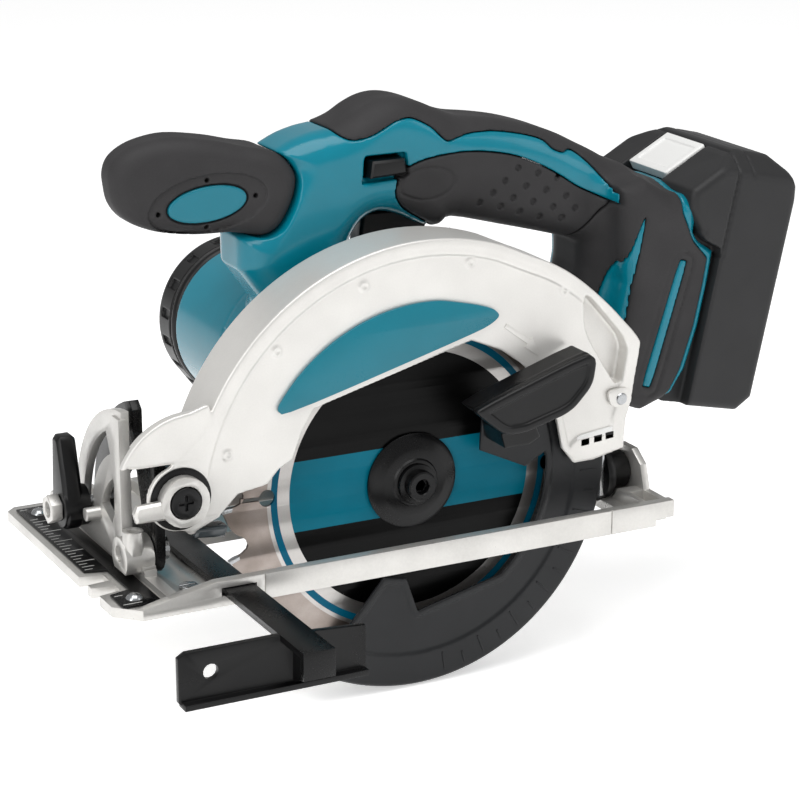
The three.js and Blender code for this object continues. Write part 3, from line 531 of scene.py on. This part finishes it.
# A plain white plate with three raised bars stands where a picture label would be.
plate("dust_label", [worn([(69.6, 36.8), (89.2, 39.0), (88.6, 30.2), (69.8, 28.4)], 1, 0.08)],
      -12.9, -11.9, WHITE, "saw", edge=0.1)
LABEL_BAR = ((-1.9, 31.8), (1.9, 32.1), (1.9, 34.9), (-1.9, 34.6))
for k, x in enumerate((73.5, 79.5, 85.0)):
    rise = 0.11 * (x - 70)
    bar = [(x + dx, z + rise) for dx, z in LABEL_BAR]
    plate("dust_label_mark_%d" % k, [bar], -13.0, -12.8, BLACK, "saw", edge=0.02)
ARROW = [(35.3, 86.9), (45.9, 78.9), (44.9, 77.7), (51.5, 72.9), (48.2, 81.2), (47.1, 80.3), (36.5, 88.3)]
plate("turn_arrow", [ARROW], -12.6, -12.0, CAST, "saw", edge=0.1)
tab = worn([(82.6, 54.3), (85.2, 46.8), (94.0, 47), (94.6, 51.1), (92, 55)], 2, 0.2)
plate("chute_tab", [tab], -14.2, -12.6, CAST, "saw", edge=0.4)
turned("chute_screw", "Y", (89.6, 0, 50.2),
       [(0, -14.6), (1.2, -14.9), (2.2, -14.7), (2.6, -14.1), (2.6, -13.4)], STEEL, "saw", sides=32)


# ---- lower guard ----------------------------------------------------------------------------

def lower_field(s):
    radius = s.rod(SPINDLE, 0)
    sector = s.outline(arc(*SPINDLE, 120, -123, 20, 30) + [SPINDLE])
    disc = both(radius - 85.5, slab(s.y, -9, 9), 2.4)
    shell = less(disc, both(radius - 83.4, slab(s.y, -7.2, 7.2), 1.2))
    near = s.outline(arc(*SPINDLE, 85.5, -123, 20, 30) + arc(*SPINDLE, 58, 20, -50, 12)
                     + [(24, -22), (-0.8, -28), (-6, -13), (-16, -11)])
    lug = s.outline([(27, 36), (48, 26), (74, 40), (71, 56), (60, 50), (44, 52), (28, 50)])
    far = np.maximum(sector, 17 - radius)
    hub = np.maximum(radius - 24, 15.1 - radius)
    wall = np.where(s.y < 0, np.minimum(near, lug), np.minimum(far, hub))
    body = np.maximum(shell, wall)
    hub_plate = np.maximum(hub, slab(s.y, 7.2, 9))
    body = np.minimum(body, hub_plate)
    lip = both(np.abs(near + 1.2) - 1.2, slab(s.y, -9, -7.2), 0.3)
    body = np.minimum(body, np.maximum(lip, radius - 84.5))
    inner_step = np.maximum(np.maximum(radius - 71.5, near + 2.6), s.y + 8.2)
    return less(body, inner_step)


lower_space = Space((-50, -10.5, -62), (88, 10.5, 58), 0.62)
grown("lower_guard_shell", lower_space, lower_field(lower_space), GREY, "blade_guard", ("lower_guard",))
TICK_END, TICK_HALF = 81.6, 0.35
for k in range(13):
    turn = math.radians(-82 + 6.5 * k)
    start = 77.0 if k % 2 else 74.0
    c, n = math.cos(turn), math.sin(turn)
    corners = ((start, TICK_HALF), (TICK_END, TICK_HALF), (TICK_END, -TICK_HALF), (start, -TICK_HALF))
    bar = [(reach * c - half * n, AXIS_Z + reach * n + half * c) for reach, half in corners]
    plate("guard_tick_%02d" % k, [bar], -9.3, -8.6, GREY, "blade_guard", edge=0.05)


def lever_field(s):
    paddle = s.outline(worn([(13.7, 60.5), (64, 77), (68.3, 73.8), (66.6, 63.3), (57, 53.6), (42, 49.6),
                             (36, 48), (27, 48), (15, 58)], 2, 0.18))
    front = both(paddle, slab(s.y, -30, -25.5), 1.3)
    dish = both(paddle + 3.4, s.y + 29.1, 0.8)
    front = less(front, dish, 0.5)
    shelf = s.outline(worn([(13.7, 60.5), (64, 77), (67, 75), (18, 56.5)], 1, 0.15))
    top = both(shelf, slab(s.y, -27, -15), 1.0)
    neck = both(s.outline([(27, 49), (42, 51), (45, 44), (40, 41.5), (29, 41.5)]), slab(s.y, -26, -9.3), 0.8)
    return either(either(front, top, 1.0), neck, 1.2)


lever_space = Space((12, -31, 34), (70, -8.5, 79), 0.45)
grown("retract_paddle", lever_space, lever_field(lever_space), BLACK, "blade_guard", ("retract_lever",))


# ---- blade ----------------------------------------------------------------------------------

BLADE_R = 82.5
TEETH = 24
# How far each point of one tooth lies inside the rim, and its turn in degrees past the tooth's start.
TOOTH = ((0.2, 0), (0.9, 1.2), (1.8, 2.6), (2.8, 4.6), (4.2, 6.8), (6.2, 8.4), (8.2, 9.6), (9.4, 11.0),
         (9.6, 12.4), (8.6, 13.6), (6.2, 14.4), (2.6, 14.85))
TOOTH_TIP = ((0.05, 0), (0.5, 1.1), (4.6, 0.75), (4.9, -0.35), (2.6, -0.4))


def polar(radius, turn):
    return (radius * math.cos(math.radians(turn)), AXIS_Z + radius * math.sin(math.radians(turn)))


def on_tooth(points, k):
    return [polar(BLADE_R - inside, 360 // TEETH * k + turn) for inside, turn in points]


def keyhole(turn):
    """A slot for the blade's growth, with a round end, open towards the rim."""
    x, z = polar(63, turn)
    along = math.radians(turn)
    c, n = math.cos(along), math.sin(along)
    round_end = [(x + 3.4 * math.cos(along + a), z + 3.4 * math.sin(along + a))
                 for a in np.radians(np.linspace(14, 346, 22))]
    return round_end + [(x + 11 * c + side * n, z + 11 * n - side * c) for side in (0.8, -0.8)]


rim = [point for k in range(TEETH) for point in on_tooth(TOOTH, k)]
holes = [circle(*SPINDLE, 8.2, 40)] + [keyhole(turn) for turn in (178, 88, -2, -92)]
blade_mesh = plate_mesh("saw_blade", [rim] + holes, -0.65, 0.65, 0.12)


def blade_finish():
    f = Finish("blade_print", (176, 168, 160), 0.34, 0.85, gloss=0.12)
    split = f.add("ShaderNodeSeparateXYZ")
    f.link(f.space, split.inputs[0])
    x, z = split.outputs["X"], split.outputs["Z"]
    radius = f.math("MULTIPLY", f.math("SQRT", f.math("ADD", f.math("MULTIPLY", x, x),
                                                      f.math("MULTIPLY", z, z))), 1000.0)

    def ring(low, high):
        return f.math("MULTIPLY", f.math("GREATER_THAN", radius, low), f.math("LESS_THAN", radius, high))

    steel = f.mix(f.between(f.noise(0.05), 0.0, 1.0), linear((172, 162, 156)), linear((132, 120, 112)))
    silver = f.mix(ring(53.4, 63.0), steel, linear((196, 193, 190)))
    teal_print = f.math("MULTIPLY", f.math("GREATER_THAN", z, -0.014), f.math("LESS_THAN", z, 0.015))
    print_colour = f.mix(teal_print, linear((2, 2, 2)), linear((0, 108, 130)))
    disc = f.mix(ring(0.0, 53.4), silver, print_colour)
    final = f.mix(ring(58.6, 61.4), disc, linear((0, 92, 120)))
    inked = f.math("MAXIMUM", ring(0.0, 53.4), ring(58.6, 61.4))
    metal = f.math("SUBTRACT", 0.9, f.math("MULTIPLY", inked, 0.9))
    f.link(metal, f.shader.inputs["Metallic"])
    return f.finish(2.5, 0.006, 0.12, 0.07, base=final)


BLADE_FINISH = blade_finish()
add_piece("saw_blade", blade_mesh, BLADE_FINISH, "blade_shaft", ("blade",), origin=AXIS)
for k in range(TEETH):
    plate("carbide_tip_%02d" % k, [on_tooth(TOOTH_TIP, k)], -0.95, 0.95, STEEL, "blade_shaft", edge=0.08)

turned("clamp_flange", "Y", (0, 0, AXIS_Z),
       [(4.4, -5.2), (8.6, -5.4), (9.4, -5.2), (10, -4.5), (13.2, -4.2), (14.2, -3.9), (17.4, -2.7),
        (19.1, -2.2), (19.6, -1.8), (19.6, -1.0), (4.4, -0.95), (4.4, -5.2)],
       BLACK_STEEL, "blade_shaft", ("outer_flange",))
turned("bolt_head", "Y", (0, 0, AXIS_Z),
       [(3.0, -8.0), (3.0, -11.0), (3.3, -11.3), (5.5, -11.3), (6.1, -10.9), (6.3, -10.4), (6.3, -7.4),
        (8, -7.0), (8.2, -6.4), (8, -5.7), (4, -5.6), (4, 11.9), (0, 11.9)],
       BLACK_STEEL, "blade_shaft", ("blade_bolt",))
plate("bolt_socket", [circle(*SPINDLE, 3.3, 24), circle(*SPINDLE, 2.6, 6)], -8.6, -7.6, BLACK, "blade_shaft",
      edge=0.05)


# ---- motor ----------------------------------------------------------------------------------

motor_low, motor_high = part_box("armature")
MOTOR = ((motor_low.x + motor_high.x) * 500, (motor_low.z + motor_high.z) * 500)
CIRCLES = ((-22.1, 67.5, 33.8), (MOTOR[0], MOTOR[1], 30.0))


def motor_field(s):
    skin = s.hull(*CIRCLES)
    body = both(skin, slab(s.y, 32.3, 107), 1.2)
    seam = np.abs(s.y - 60) - 0.35
    body = carve(body, np.broadcast_to(seam, body.shape), 0.6)
    return body


motor_space = Space((-58, 30, 15), (21, 109, 104), 0.8)
grown("motor_barrel", motor_space, motor_field(motor_space), TEAL, "saw", ("motor_housing",))


def cover_field(s):
    skin = s.hull(*CIRCLES)
    body = both(skin - 0.35, slab(s.y, 107.3, 126), 3.0)
    band = np.abs(s.y - 111.5) - 0.6
    body = carve(body, np.broadcast_to(band, body.shape), 0.9)
    for k in range(9):
        z = MOTOR[1] - 24 + 8 * k
        slot = both(np.maximum(np.abs(s.z - z) - 1.7, skin + 5.5), 122.5 - s.y)
        body = less(body, slot, 0.4)
    turn = np.arctan2(s.z - 60, s.x + 18)
    for k in range(20):
        spoke = np.abs(np.mod(turn - k * math.pi / 10 + math.pi, 2 * math.pi) - math.pi)
        groove = np.maximum(spoke * 33 - 1.6, slab(s.y, 113.5, 121))
        body = carve(body, groove, 1.2)
    return body


cover_space = Space((-59, 106, 15), (21, 127, 104), 0.6)
grown("motor_cap", cover_space, cover_field(cover_space), BLACK, "saw", ("motor_end_cover",))


# ---- handle ---------------------------------------------------------------------------------

LEAN = 0.2164
FOOT_AT = (133.2, 38.3)


def on_battery(points):
    s, c = math.sin(LEAN), math.cos(LEAN)
    return [(FOOT_AT[0] + v * c + u * s, FOOT_AT[1] - v * s + u * c) for v, u in points]


CROWN_TOP = curve([(-44, 157.5), (-36, 161.2), (-28, 163.4), (-20.5, 164.5), (-13, 166.9), (-6.5, 170.6),
                   (0, 173.2), (6.4, 174), (13, 173), (20, 170.6), (27.5, 167.2), (36.5, 164), (48.4, 162.2),
                   (60, 160), (71.7, 156.6), (82, 152.6), (91, 148), (100, 143.3), (110, 137.2),
                   (124, 128.2)], 4, False)
HANDLE_Y, FOOT_Y, MIDDLE_Y = (20, 56), (4, 72), 38
HANDLE = [(-41, 86), (-50, 98), (-60, 112), (-60.2, 125), (-54.5, 127.6), (-51.8, 133), (-40.6, 151)]
HANDLE += CROWN_TOP + on_battery([(-12, 86), (-12, 2)]) + [(113, 36), (96, 33), (60, 33), (20, 36), (0, 50)]
HAND_HOLE = [(12, 80), (-9, 98), (-13.4, 110), (-13.2, 118), (-8, 126), (0, 129), (10, 126.4),
             (20, 121.6), (27, 121.2), (33, 123.8), (56, 118), (80, 111.4), (91.5, 107.6), (93, 103),
             (92, 92), (84, 78), (64, 66), (22, 66)]
FOOT = [(100, 132), (112, 134.5), (124, 127.5)] + on_battery([(-12, 86), (-12, 2)]) + [
    (113, 36), (103, 40), (98, 62), (104, 92)]
CHEEK_BACK = on_battery([(-20.4, 77), (-9.5, 67.5), (-1.4, 64.5), (-0.6, 50), (-0.6, 32), (-2.6, 13),
                         (-7, 2)])
CHEEK = [(104, 126), (118, 128.5)] + CHEEK_BACK + [(113, 37), (104, 44), (99, 62), (104, 92)]


def handle_field(s):
    shape = np.maximum(s.outline(HANDLE), -s.outline(curve(HAND_HOLE, 3)))
    loop = both(shape, slab(s.y, *HANDLE_Y), 11.5)
    foot = both(s.outline(FOOT), slab(s.y, *FOOT_Y), 7.5)
    body = blend(loop, foot, 9)
    cheeks = both(s.outline(CHEEK), slab(s.y, *FOOT_Y), 5.0)
    body = either(body, cheeks, 1.0)
    motor = np.maximum(s.hull(*CIRCLES) + 0.7, slab(s.y, 33.4, 73))
    body = blend(body, motor, 9)
    body = less(body, s.outline(FRONT_GRIP) - 0.3, 0.5)
    inside = np.maximum(s.outline(on_battery([(-11.9, -20), (-11.9, 64), (-8, 72), (40, 90), (40, -20)])),
                        slab(s.y, 8.2, 67.8))
    body = less(body, inside)
    under_button = s.outline(on_battery([(-18.4, 84.4), (-18.4, 93), (-10.6, 93), (-10.6, 84.4)]))
    body = less(body, both(under_button, slab(s.y, 28, 59.7), 1.0), 0.4)
    well = s.outline([(-10.6, 142.6), (-9.4, 153.8), (8.6, 153.8), (10.2, 143.6)])
    body = less(body, both(well, np.minimum(slab(s.y, 10, 23.5), slab(s.y, 53, 66))), 0.6)
    button_way = s.outline([(-8.8, 144.2), (-7.7, 152.6), (7.7, 152.6), (8.8, 144.9)])
    body = less(body, both(button_way, slab(s.y, 10, 41.5)))
    rod_way = np.maximum(slab(s.x, -4.7, 4.7), slab(s.z, 145.3, 151.7))
    body = less(body, np.maximum(rod_way, slab(s.y, 10, 66)))
    lower = np.maximum(slab(s.x, 20, 98), slab(s.z, 20, 66))
    body = less(body, np.maximum(lower, s.y - 25))
    return less(body, np.maximum(slab(s.x, -8, 26), np.maximum(slab(s.y, 32, 44), slab(s.z, 100, 136))), 0.5)


FRONT_GRIP = curve([(-110.6, 148.5), (-110.8, 153.8), (-108.6, 159), (-103, 163), (-95, 165.4),
                    (-84, 166.2), (-68.4, 163.7), (-56.5, 160.6), (-46.8, 158.4), (-40.7, 154.6),
                    (-37.2, 149.3), (-36.8, 144.5), (-38.6, 137.6), (-43, 129.5), (-47.5, 126),
                    (-52, 125.2), (-57, 126.3), (-63.5, 127.4), (-76, 127.6), (-86.6, 128.8),
                    (-95.5, 131), (-104, 135.2), (-109, 141.4)], 4)
CROWN_LINE = curve([(-25, 172), (-20.6, 164), (-14.6, 160.3), (-6.8, 161.2), (0, 164.2), (5.1, 166.4),
                    (11.6, 166.8), (19.7, 162.8), (24.4, 158.4), (27.2, 156.4), (30.5, 156.9), (37.6, 158.2),
                    (48, 158), (56.5, 156.7), (65, 154.7), (71.9, 152.2), (76, 148.4), (80.8, 146.4),
                    (83.6, 147), (86.9, 146), (93, 141), (98.2, 135), (101, 129.5), (101.8, 124.8)], 4, False)
GRIP_TOP = curve([(101.2, 125.2), (95, 128.2), (87.6, 131.9), (78.5, 137.8), (69.5, 142.8), (58, 147.6),
                  (45.9, 150.3), (35, 151.4), (24.2, 150.9), (14.5, 149.3), (7.3, 146.1), (4.6, 141.4),
                  (4.7, 136), (9.5, 130.2), (17.2, 125.2), (23, 121.8)], 4, False)
SIDE_GRIP = GRIP_TOP + [(27, 108), (82, 104)]
TEAL_FRONT = [(-80, 20), (-80, 190)] + CROWN_LINE + GRIP_TOP + [(27, 117), (30, 20)]
LEAF = curve([(110.6, 119.6), (107.4, 113.5), (104.6, 104), (101, 93), (97, 80), (97, 66), (101, 66),
              (103.6, 79), (106, 93), (108.6, 107)])
BAR = worn([(127.6, 100), (131.6, 99.1), (115.2, 46.4), (110.8, 47.5)], 1, 0.1)
SEAM = on_battery([(-24, 104), (-23.2, 86.5), (-22.2, 78.8), (-13.4, 67.2), (-5.2, 61.1), (-4.7, 50),
                   (-4.7, 32), (-6.7, 13), (-12, -4), (20, -4), (20, 60), (-10, 90), (-14, 104)])


def teal_field(s):
    region = np.minimum(s.outline(TEAL_FRONT), s.outline(LEAF))
    return np.minimum(region, np.minimum(s.outline(BAR), s.outline(SEAM)))


handle_space = Space((-64, 1, 30), (150, 74.5, 178), 0.8)
handle_shape = handle_field(handle_space)
teal_region = teal_field(handle_space)
grown("handle_shell", handle_space, both(handle_shape, teal_region + 0.15, 0.5), TEAL, "saw",
      ("handle_left", "handle_right"))
grip_region = handle_space.outline(SIDE_GRIP)
rubber = both(handle_shape - 0.35, np.maximum(0.15 - teal_region, 0.15 - grip_region), 0.5)
frame_line = np.maximum(np.abs(handle_space.outline(BAR) - 3.4) - 0.45, handle_space.y - 20)
rubber = carve(rubber, frame_line, 0.8)
grown("handle_rubber", handle_space, rubber, RUBBER, "saw", ("crown_rubber",))

GRIP_PITS = [(59.2, 142.4), (68.5, 139.4), (77.5, 136.5), (53.3, 137.7), (63.1, 134.6), (72.4, 132.0),
             (81.9, 128.6), (47.8, 133.3), (57.1, 130.3), (66.4, 127.7), (75.8, 124.6), (41.9, 129.8),
             (51.6, 127.2), (60.5, 124.2), (69.9, 121.1), (80.2, 119.6), (86.3, 123.1)]


def grip_field(s, side):
    body = handle_field(s) - 0.45
    region = s.outline(SIDE_GRIP)
    body = both(body, region + 0.35, 0.9)
    body = np.maximum(body, side * (s.y - MIDDLE_Y))
    for at in GRIP_PITS:
        body = carve(body, s.rod(at, 1.35), 1.0)
    oval = np.sqrt(((s.x - 17.9) / 12.2) ** 2 + ((s.z - 140.2) / 6.4) ** 2)
    ring = np.abs(oval - 1) * 7 - 0.45
    return carve(body, ring, 0.5)


for name, node, side in (("near_grip", "left_side_grip", 1), ("far_grip", "right_side_grip", -1)):
    low, high = (17, 39) if side > 0 else (37, 59)
    grip_space = Space((2, low, 108), (100, high, 154), 0.55)
    grown(name, grip_space, grip_field(grip_space, side), RUBBER, "saw", (node,))

OVAL = (-74.0, 140.4)


def oval_reach(s, half_length, half_height):
    """Below 1 inside an oval on the front grip's near face, which leans with the grip."""
    across = (s.z - OVAL[1] - 0.1 * (s.x - OVAL[0])) / half_height
    return np.sqrt(((s.x - OVAL[0]) / half_length) ** 2 + across ** 2)


def front_bar(s):
    half_width = 10 + 0.108 * (s.x + 107)
    return both(s.outline(FRONT_GRIP), np.abs(s.y - MIDDLE_Y) - half_width, 7.5)


def front_grip_field(s):
    body = front_bar(s)
    body = carve(body, np.maximum((oval_reach(s, 23.6, 11.6) - 1) * 15, s.y - MIDDLE_Y), 1.0)
    body = carve(body, np.maximum((oval_reach(s, 16.4, 7.6) - 1) * 9, s.y - MIDDLE_Y), 1.6)
    for dx, dz in ((0, 9.4), (19.4, 1.8), (-19.4, -2.6), (0, -9.2)):
        body = carve(body, np.maximum(s.rod((OVAL[0] + dx, OVAL[1] + dz), 1.0), s.y - MIDDLE_Y), 1.9)
    return body


front_space = Space((-113, 18, 122.5), (-34, 58, 168.5), 0.6)
grown("front_grip_bar", front_space, front_grip_field(front_space), RUBBER, "saw", ("front_grip",))


def grip_badge_field(s):
    body = front_bar(s) + 0.7
    body = both(body, (oval_reach(s, 15.6, 6.9) - 1) * 8, 0.5)
    return np.maximum(body, s.y - 30)


badge_space = Space((-94, 20, 130), (-55, 33, 152), 0.4)
grown("front_grip_oval", badge_space, grip_badge_field(badge_space), TEAL_MARK, "saw", ("front_grip_badge",))

BLACK_EDGES = {"trigger": 0.5, "lock_off_button": 1.4, "depth_lever": 0.5, "shaft_lock_button": 0.5}
for node, width in BLACK_EDGES.items():
    refined(node, BLACK, width, segments=4)


# ---- battery --------------------------------------------------------------------------------

CASE = [(-11.7, -0.6), (-9, -2.4), (26, -2.4), (32.4, 4), (32.4, 90), (31.4, 96), (28, 101.4), (20, 106.6),
        (3.4, 107.2), (-3, 103.4), (-19.8, 88.6), (-20.2, 85.6), (-19, 80), (-11.7, 72)]


def battery_axes(s):
    """How far out of the tool's back, and how far up along the battery."""
    sine, cosine = math.sin(LEAN), math.cos(LEAN)
    out = (s.x - FOOT_AT[0]) * cosine - (s.z - FOOT_AT[1]) * sine
    up = (s.x - FOOT_AT[0]) * sine + (s.z - FOOT_AT[1]) * cosine
    return out, up


def battery_field(s):
    profile = s.outline(on_battery(CASE))
    body = both(profile, slab(s.y, 2, 78), 3.4)
    out, up = battery_axes(s)
    top = up + 0.75 * np.maximum(12 - (s.y - 2), 0) + 0.75 * np.maximum(12 - (78 - s.y), 0) - 107.4
    body = both(body, top, 2.0)
    cheek = s.outline(on_battery([(-30, -10), (-30, 72), (-22, 79), (-8.6, 68.6), (-0.6, 66), (0.1, 60),
                                  (0.1, -10)]))
    room = np.maximum(cheek, -slab(s.y, 8.7, 67.3))
    body = less(body, room, 0.4)
    body = carve(body, np.maximum(np.abs(out - 0.6) - 0.45, 62 - up), 0.8)
    body = carve(body, np.maximum(np.abs(out - 8.0) - 0.45, 97 - up), 0.7)
    rail = both(s.outline(on_battery([(-24, 6), (-24, 66), (-11, 66), (-11, 6)])), slab(s.y, 18, 60), 0.8)
    body = either(body, rail)
    seat = s.outline(on_battery([(-21.2, 77.8), (4.2, 100.4), (-9, 114), (-32, 98)]))
    return less(body, both(seat, slab(s.y, 28, 59.7), 1.5), 0.5)


battery_space = Space((105, 0.5, 28), (190, 79.5, 152), 0.75)
grown("battery_shell", battery_space, battery_field(battery_space), SHELL, "battery", ("battery_case",))


def button_field(s):
    body = both(s.outline(on_battery([(-14.8, 87.5), (1.6, 101.9), (-1.2, 105.3), (-17.8, 91.0)])),
                slab(s.y, 29, 58.5), 1.2)
    slope = math.radians(40.1)
    out, up = battery_axes(s)
    along = (out + 9) * math.cos(slope) + (up - 97.4) * math.sin(slope)
    ring = np.maximum(np.abs(s.y - 43.7) - 11.4, np.abs(along) - 7.6)
    return carve(body, ring, 0.7)


button_space = Space((126, 27, 116), (160, 60.5, 148), 0.45)
grown("release_button", button_space, button_field(button_space), WHITE, "battery_release",
      ("battery_button",))


# ---- base -----------------------------------------------------------------------------------

refined("base_plate", BASE_CAST, 0.7)
refined("scale_plate", BLACK_STEEL, 0.15)
refined("bevel_quadrant", BASE_CAST, 0.6)
refined("tilt_bracket", BLACK_STEEL, 0.4)
refined("bevel_lever", BLACK, 0.8)
refined("bevel_lever_nut", BASE_CAST, 0.3)
refined("rip_fence", BLACK_STEEL, 0.5)
refined("lamp_lens", LENS, 0.5)
refined("depth_pivot_ring", BASE_CAST, 0.5)
refined("depth_pivot_screw", BLACK, 0.25)
refined("rear_tilt_bracket", BLACK, 0.5)
refined("depth_guide", STEEL, 0.2)
refined("fence_clamp_screw", STEEL, 0.2)
refined("gear_housing", BASE_CAST, 0.5)

MARK_START, MARK_PITCH, MARK_HALF = -133.2, 3.125, 0.16
for k in range(38):
    y = -26 + MARK_PITCH * k
    if -14 < y < 13.6 or abs(y - 84) < 4 or abs(y + 21) < 4:
        continue
    mark_end = MARK_START + (7.5, 3.2, 5.0, 3.2)[k % 4]
    mark = [(MARK_START, y - MARK_HALF), (mark_end, y - MARK_HALF), (mark_end, y + MARK_HALF),
            (MARK_START, y + MARK_HALF)]
    plate("scale_mark_%02d" % k, [mark], 4.9, 5.08, MARKS, "base", edge=0.02, plane="XY")
for k, y in enumerate((-21, 84)):
    turned("strip_rivet_%d" % k, "Z", (-127, y, 0),
           [(0, 7.0), (1.3, 6.9), (2.3, 6.4), (3.0, 5.6), (3.3, 5.05), (3.3, 4.6)], STEEL, "base", sides=32)
# A black disc behind the depth pivot's ring, painted shade: it puts a dark crescent where the gap round the
# ring lies in shadow.
turned("pivot_painted_shade_disc", "Y", (DEPTH[0], 0, DEPTH[1]),
       [(6.4, -13.9), (11.6, -13.9), (12.2, -13.7), (12.4, -13.3), (6.4, -13.2), (6.4, -13.9)],
       BLACK_STEEL, "saw")


# ---- the rest of the frame's nodes, with their own finishes ---------------------------------

SLOT_FINISH = {
    "base_alloy": BASE_CAST, "guard_alloy": CAST, "teal_housing": TEAL, "teal_badge": TEAL_MARK,
    "grip_rubber": RUBBER, "black_plastic": BLACK, "lower_guard_plastic": GREY, "battery_shell": SHELL,
    "button_white": WHITE, "scale_strip": BLACK_STEEL, "black_steel": BLACK_STEEL, "bright_steel": STEEL,
    "blade_steel": BLADE_FINISH, "copper_parts": COPPER, "lamp_plastic": LENS,
}
for part in frame["record"]["subparts"]:
    node = NODES[part["node"]]
    for slot in node.material_slots:
        slot.material = SLOT_FINISH[part["material_slot"]]


# ---- stage, light and camera ----------------------------------------------------------------

FLOOR_HALF, FLOOR_GAP = 6.0, 0.0005
floor_mesh = bpy.data.meshes.new("floor")
floor_corners = [(x * FLOOR_HALF, y * FLOOR_HALF, 0) for x, y in ((-1, -1), (1, -1), (1, 1), (-1, 1))]
floor_mesh.from_pydata(floor_corners, [], [(0, 1, 2, 3)])
floor = bpy.data.objects.new("floor", floor_mesh)
floor.location = (0, 0, cad_bounds[0].z - FLOOR_GAP)
bpy.context.scene.collection.objects.link(floor)
paper = Finish("floor_paper", (250, 250, 250), 0.9)
paper.shader.inputs["Emission Color"].default_value = (1, 1, 1, 1)
paper.shader.inputs["Emission Strength"].default_value = 0.5
floor_mesh.materials.append(paper.finish(0.2, 0.01, 0.01))

WORLD_STRENGTH = 0.42
world = bpy.data.worlds.new("studio")
bpy.context.scene.world = world
world.use_nodes = True
world.node_tree.nodes["Background"].inputs["Color"].default_value = (1, 1, 1, 1)
world.node_tree.nodes["Background"].inputs["Strength"].default_value = WORLD_STRENGTH
bpy.context.scene.view_settings.view_transform = "Standard"


def softbox(name, at, aim, size_x, size_y, watts):
    data = bpy.data.lights.new(name, "AREA")
    data.shape = "RECTANGLE"
    data.size, data.size_y, data.energy = size_x, size_y, watts
    light = bpy.data.objects.new(name, data)
    light.location = at
    light.rotation_euler = (Vector(aim) - Vector(at)).to_track_quat("-Z", "Y").to_euler()
    bpy.context.scene.collection.objects.link(light)


AIM = (AXIS.x, AXIS.y, AXIS.z + 0.03)
softbox("top_light", (-0.1, -0.3, 1.3), AIM, 1.2, 0.9, 11)
softbox("left_light", (-1.2, -0.6, 0.7), AIM, 0.6, 1.2, 7)
softbox("right_light", (1.1, -0.9, 0.5), AIM, 0.5, 1.0, 2.5)

AZIMUTH, ELEVATION, DISTANCE = math.radians(-27.13), math.radians(17.4), 1.0345
FOCAL_LENGTH, SENSOR_WIDTH = 117.87, 36
target = Vector((AXIS.x - 0.0045, AXIS.y, AXIS.z + 0.0337))
away = Vector((math.sin(AZIMUTH) * math.cos(ELEVATION), -math.cos(AZIMUTH) * math.cos(ELEVATION),
               math.sin(ELEVATION)))
camera_data = bpy.data.cameras.new("camera")
camera_data.lens = FOCAL_LENGTH
camera_data.sensor_width = SENSOR_WIDTH
camera = bpy.data.objects.new("camera", camera_data)
camera.location = target + away * DISTANCE
camera.rotation_euler = (-away).to_track_quat("-Z", "Y").to_euler()
bpy.context.scene.collection.objects.link(camera)
bpy.context.scene.camera = camera
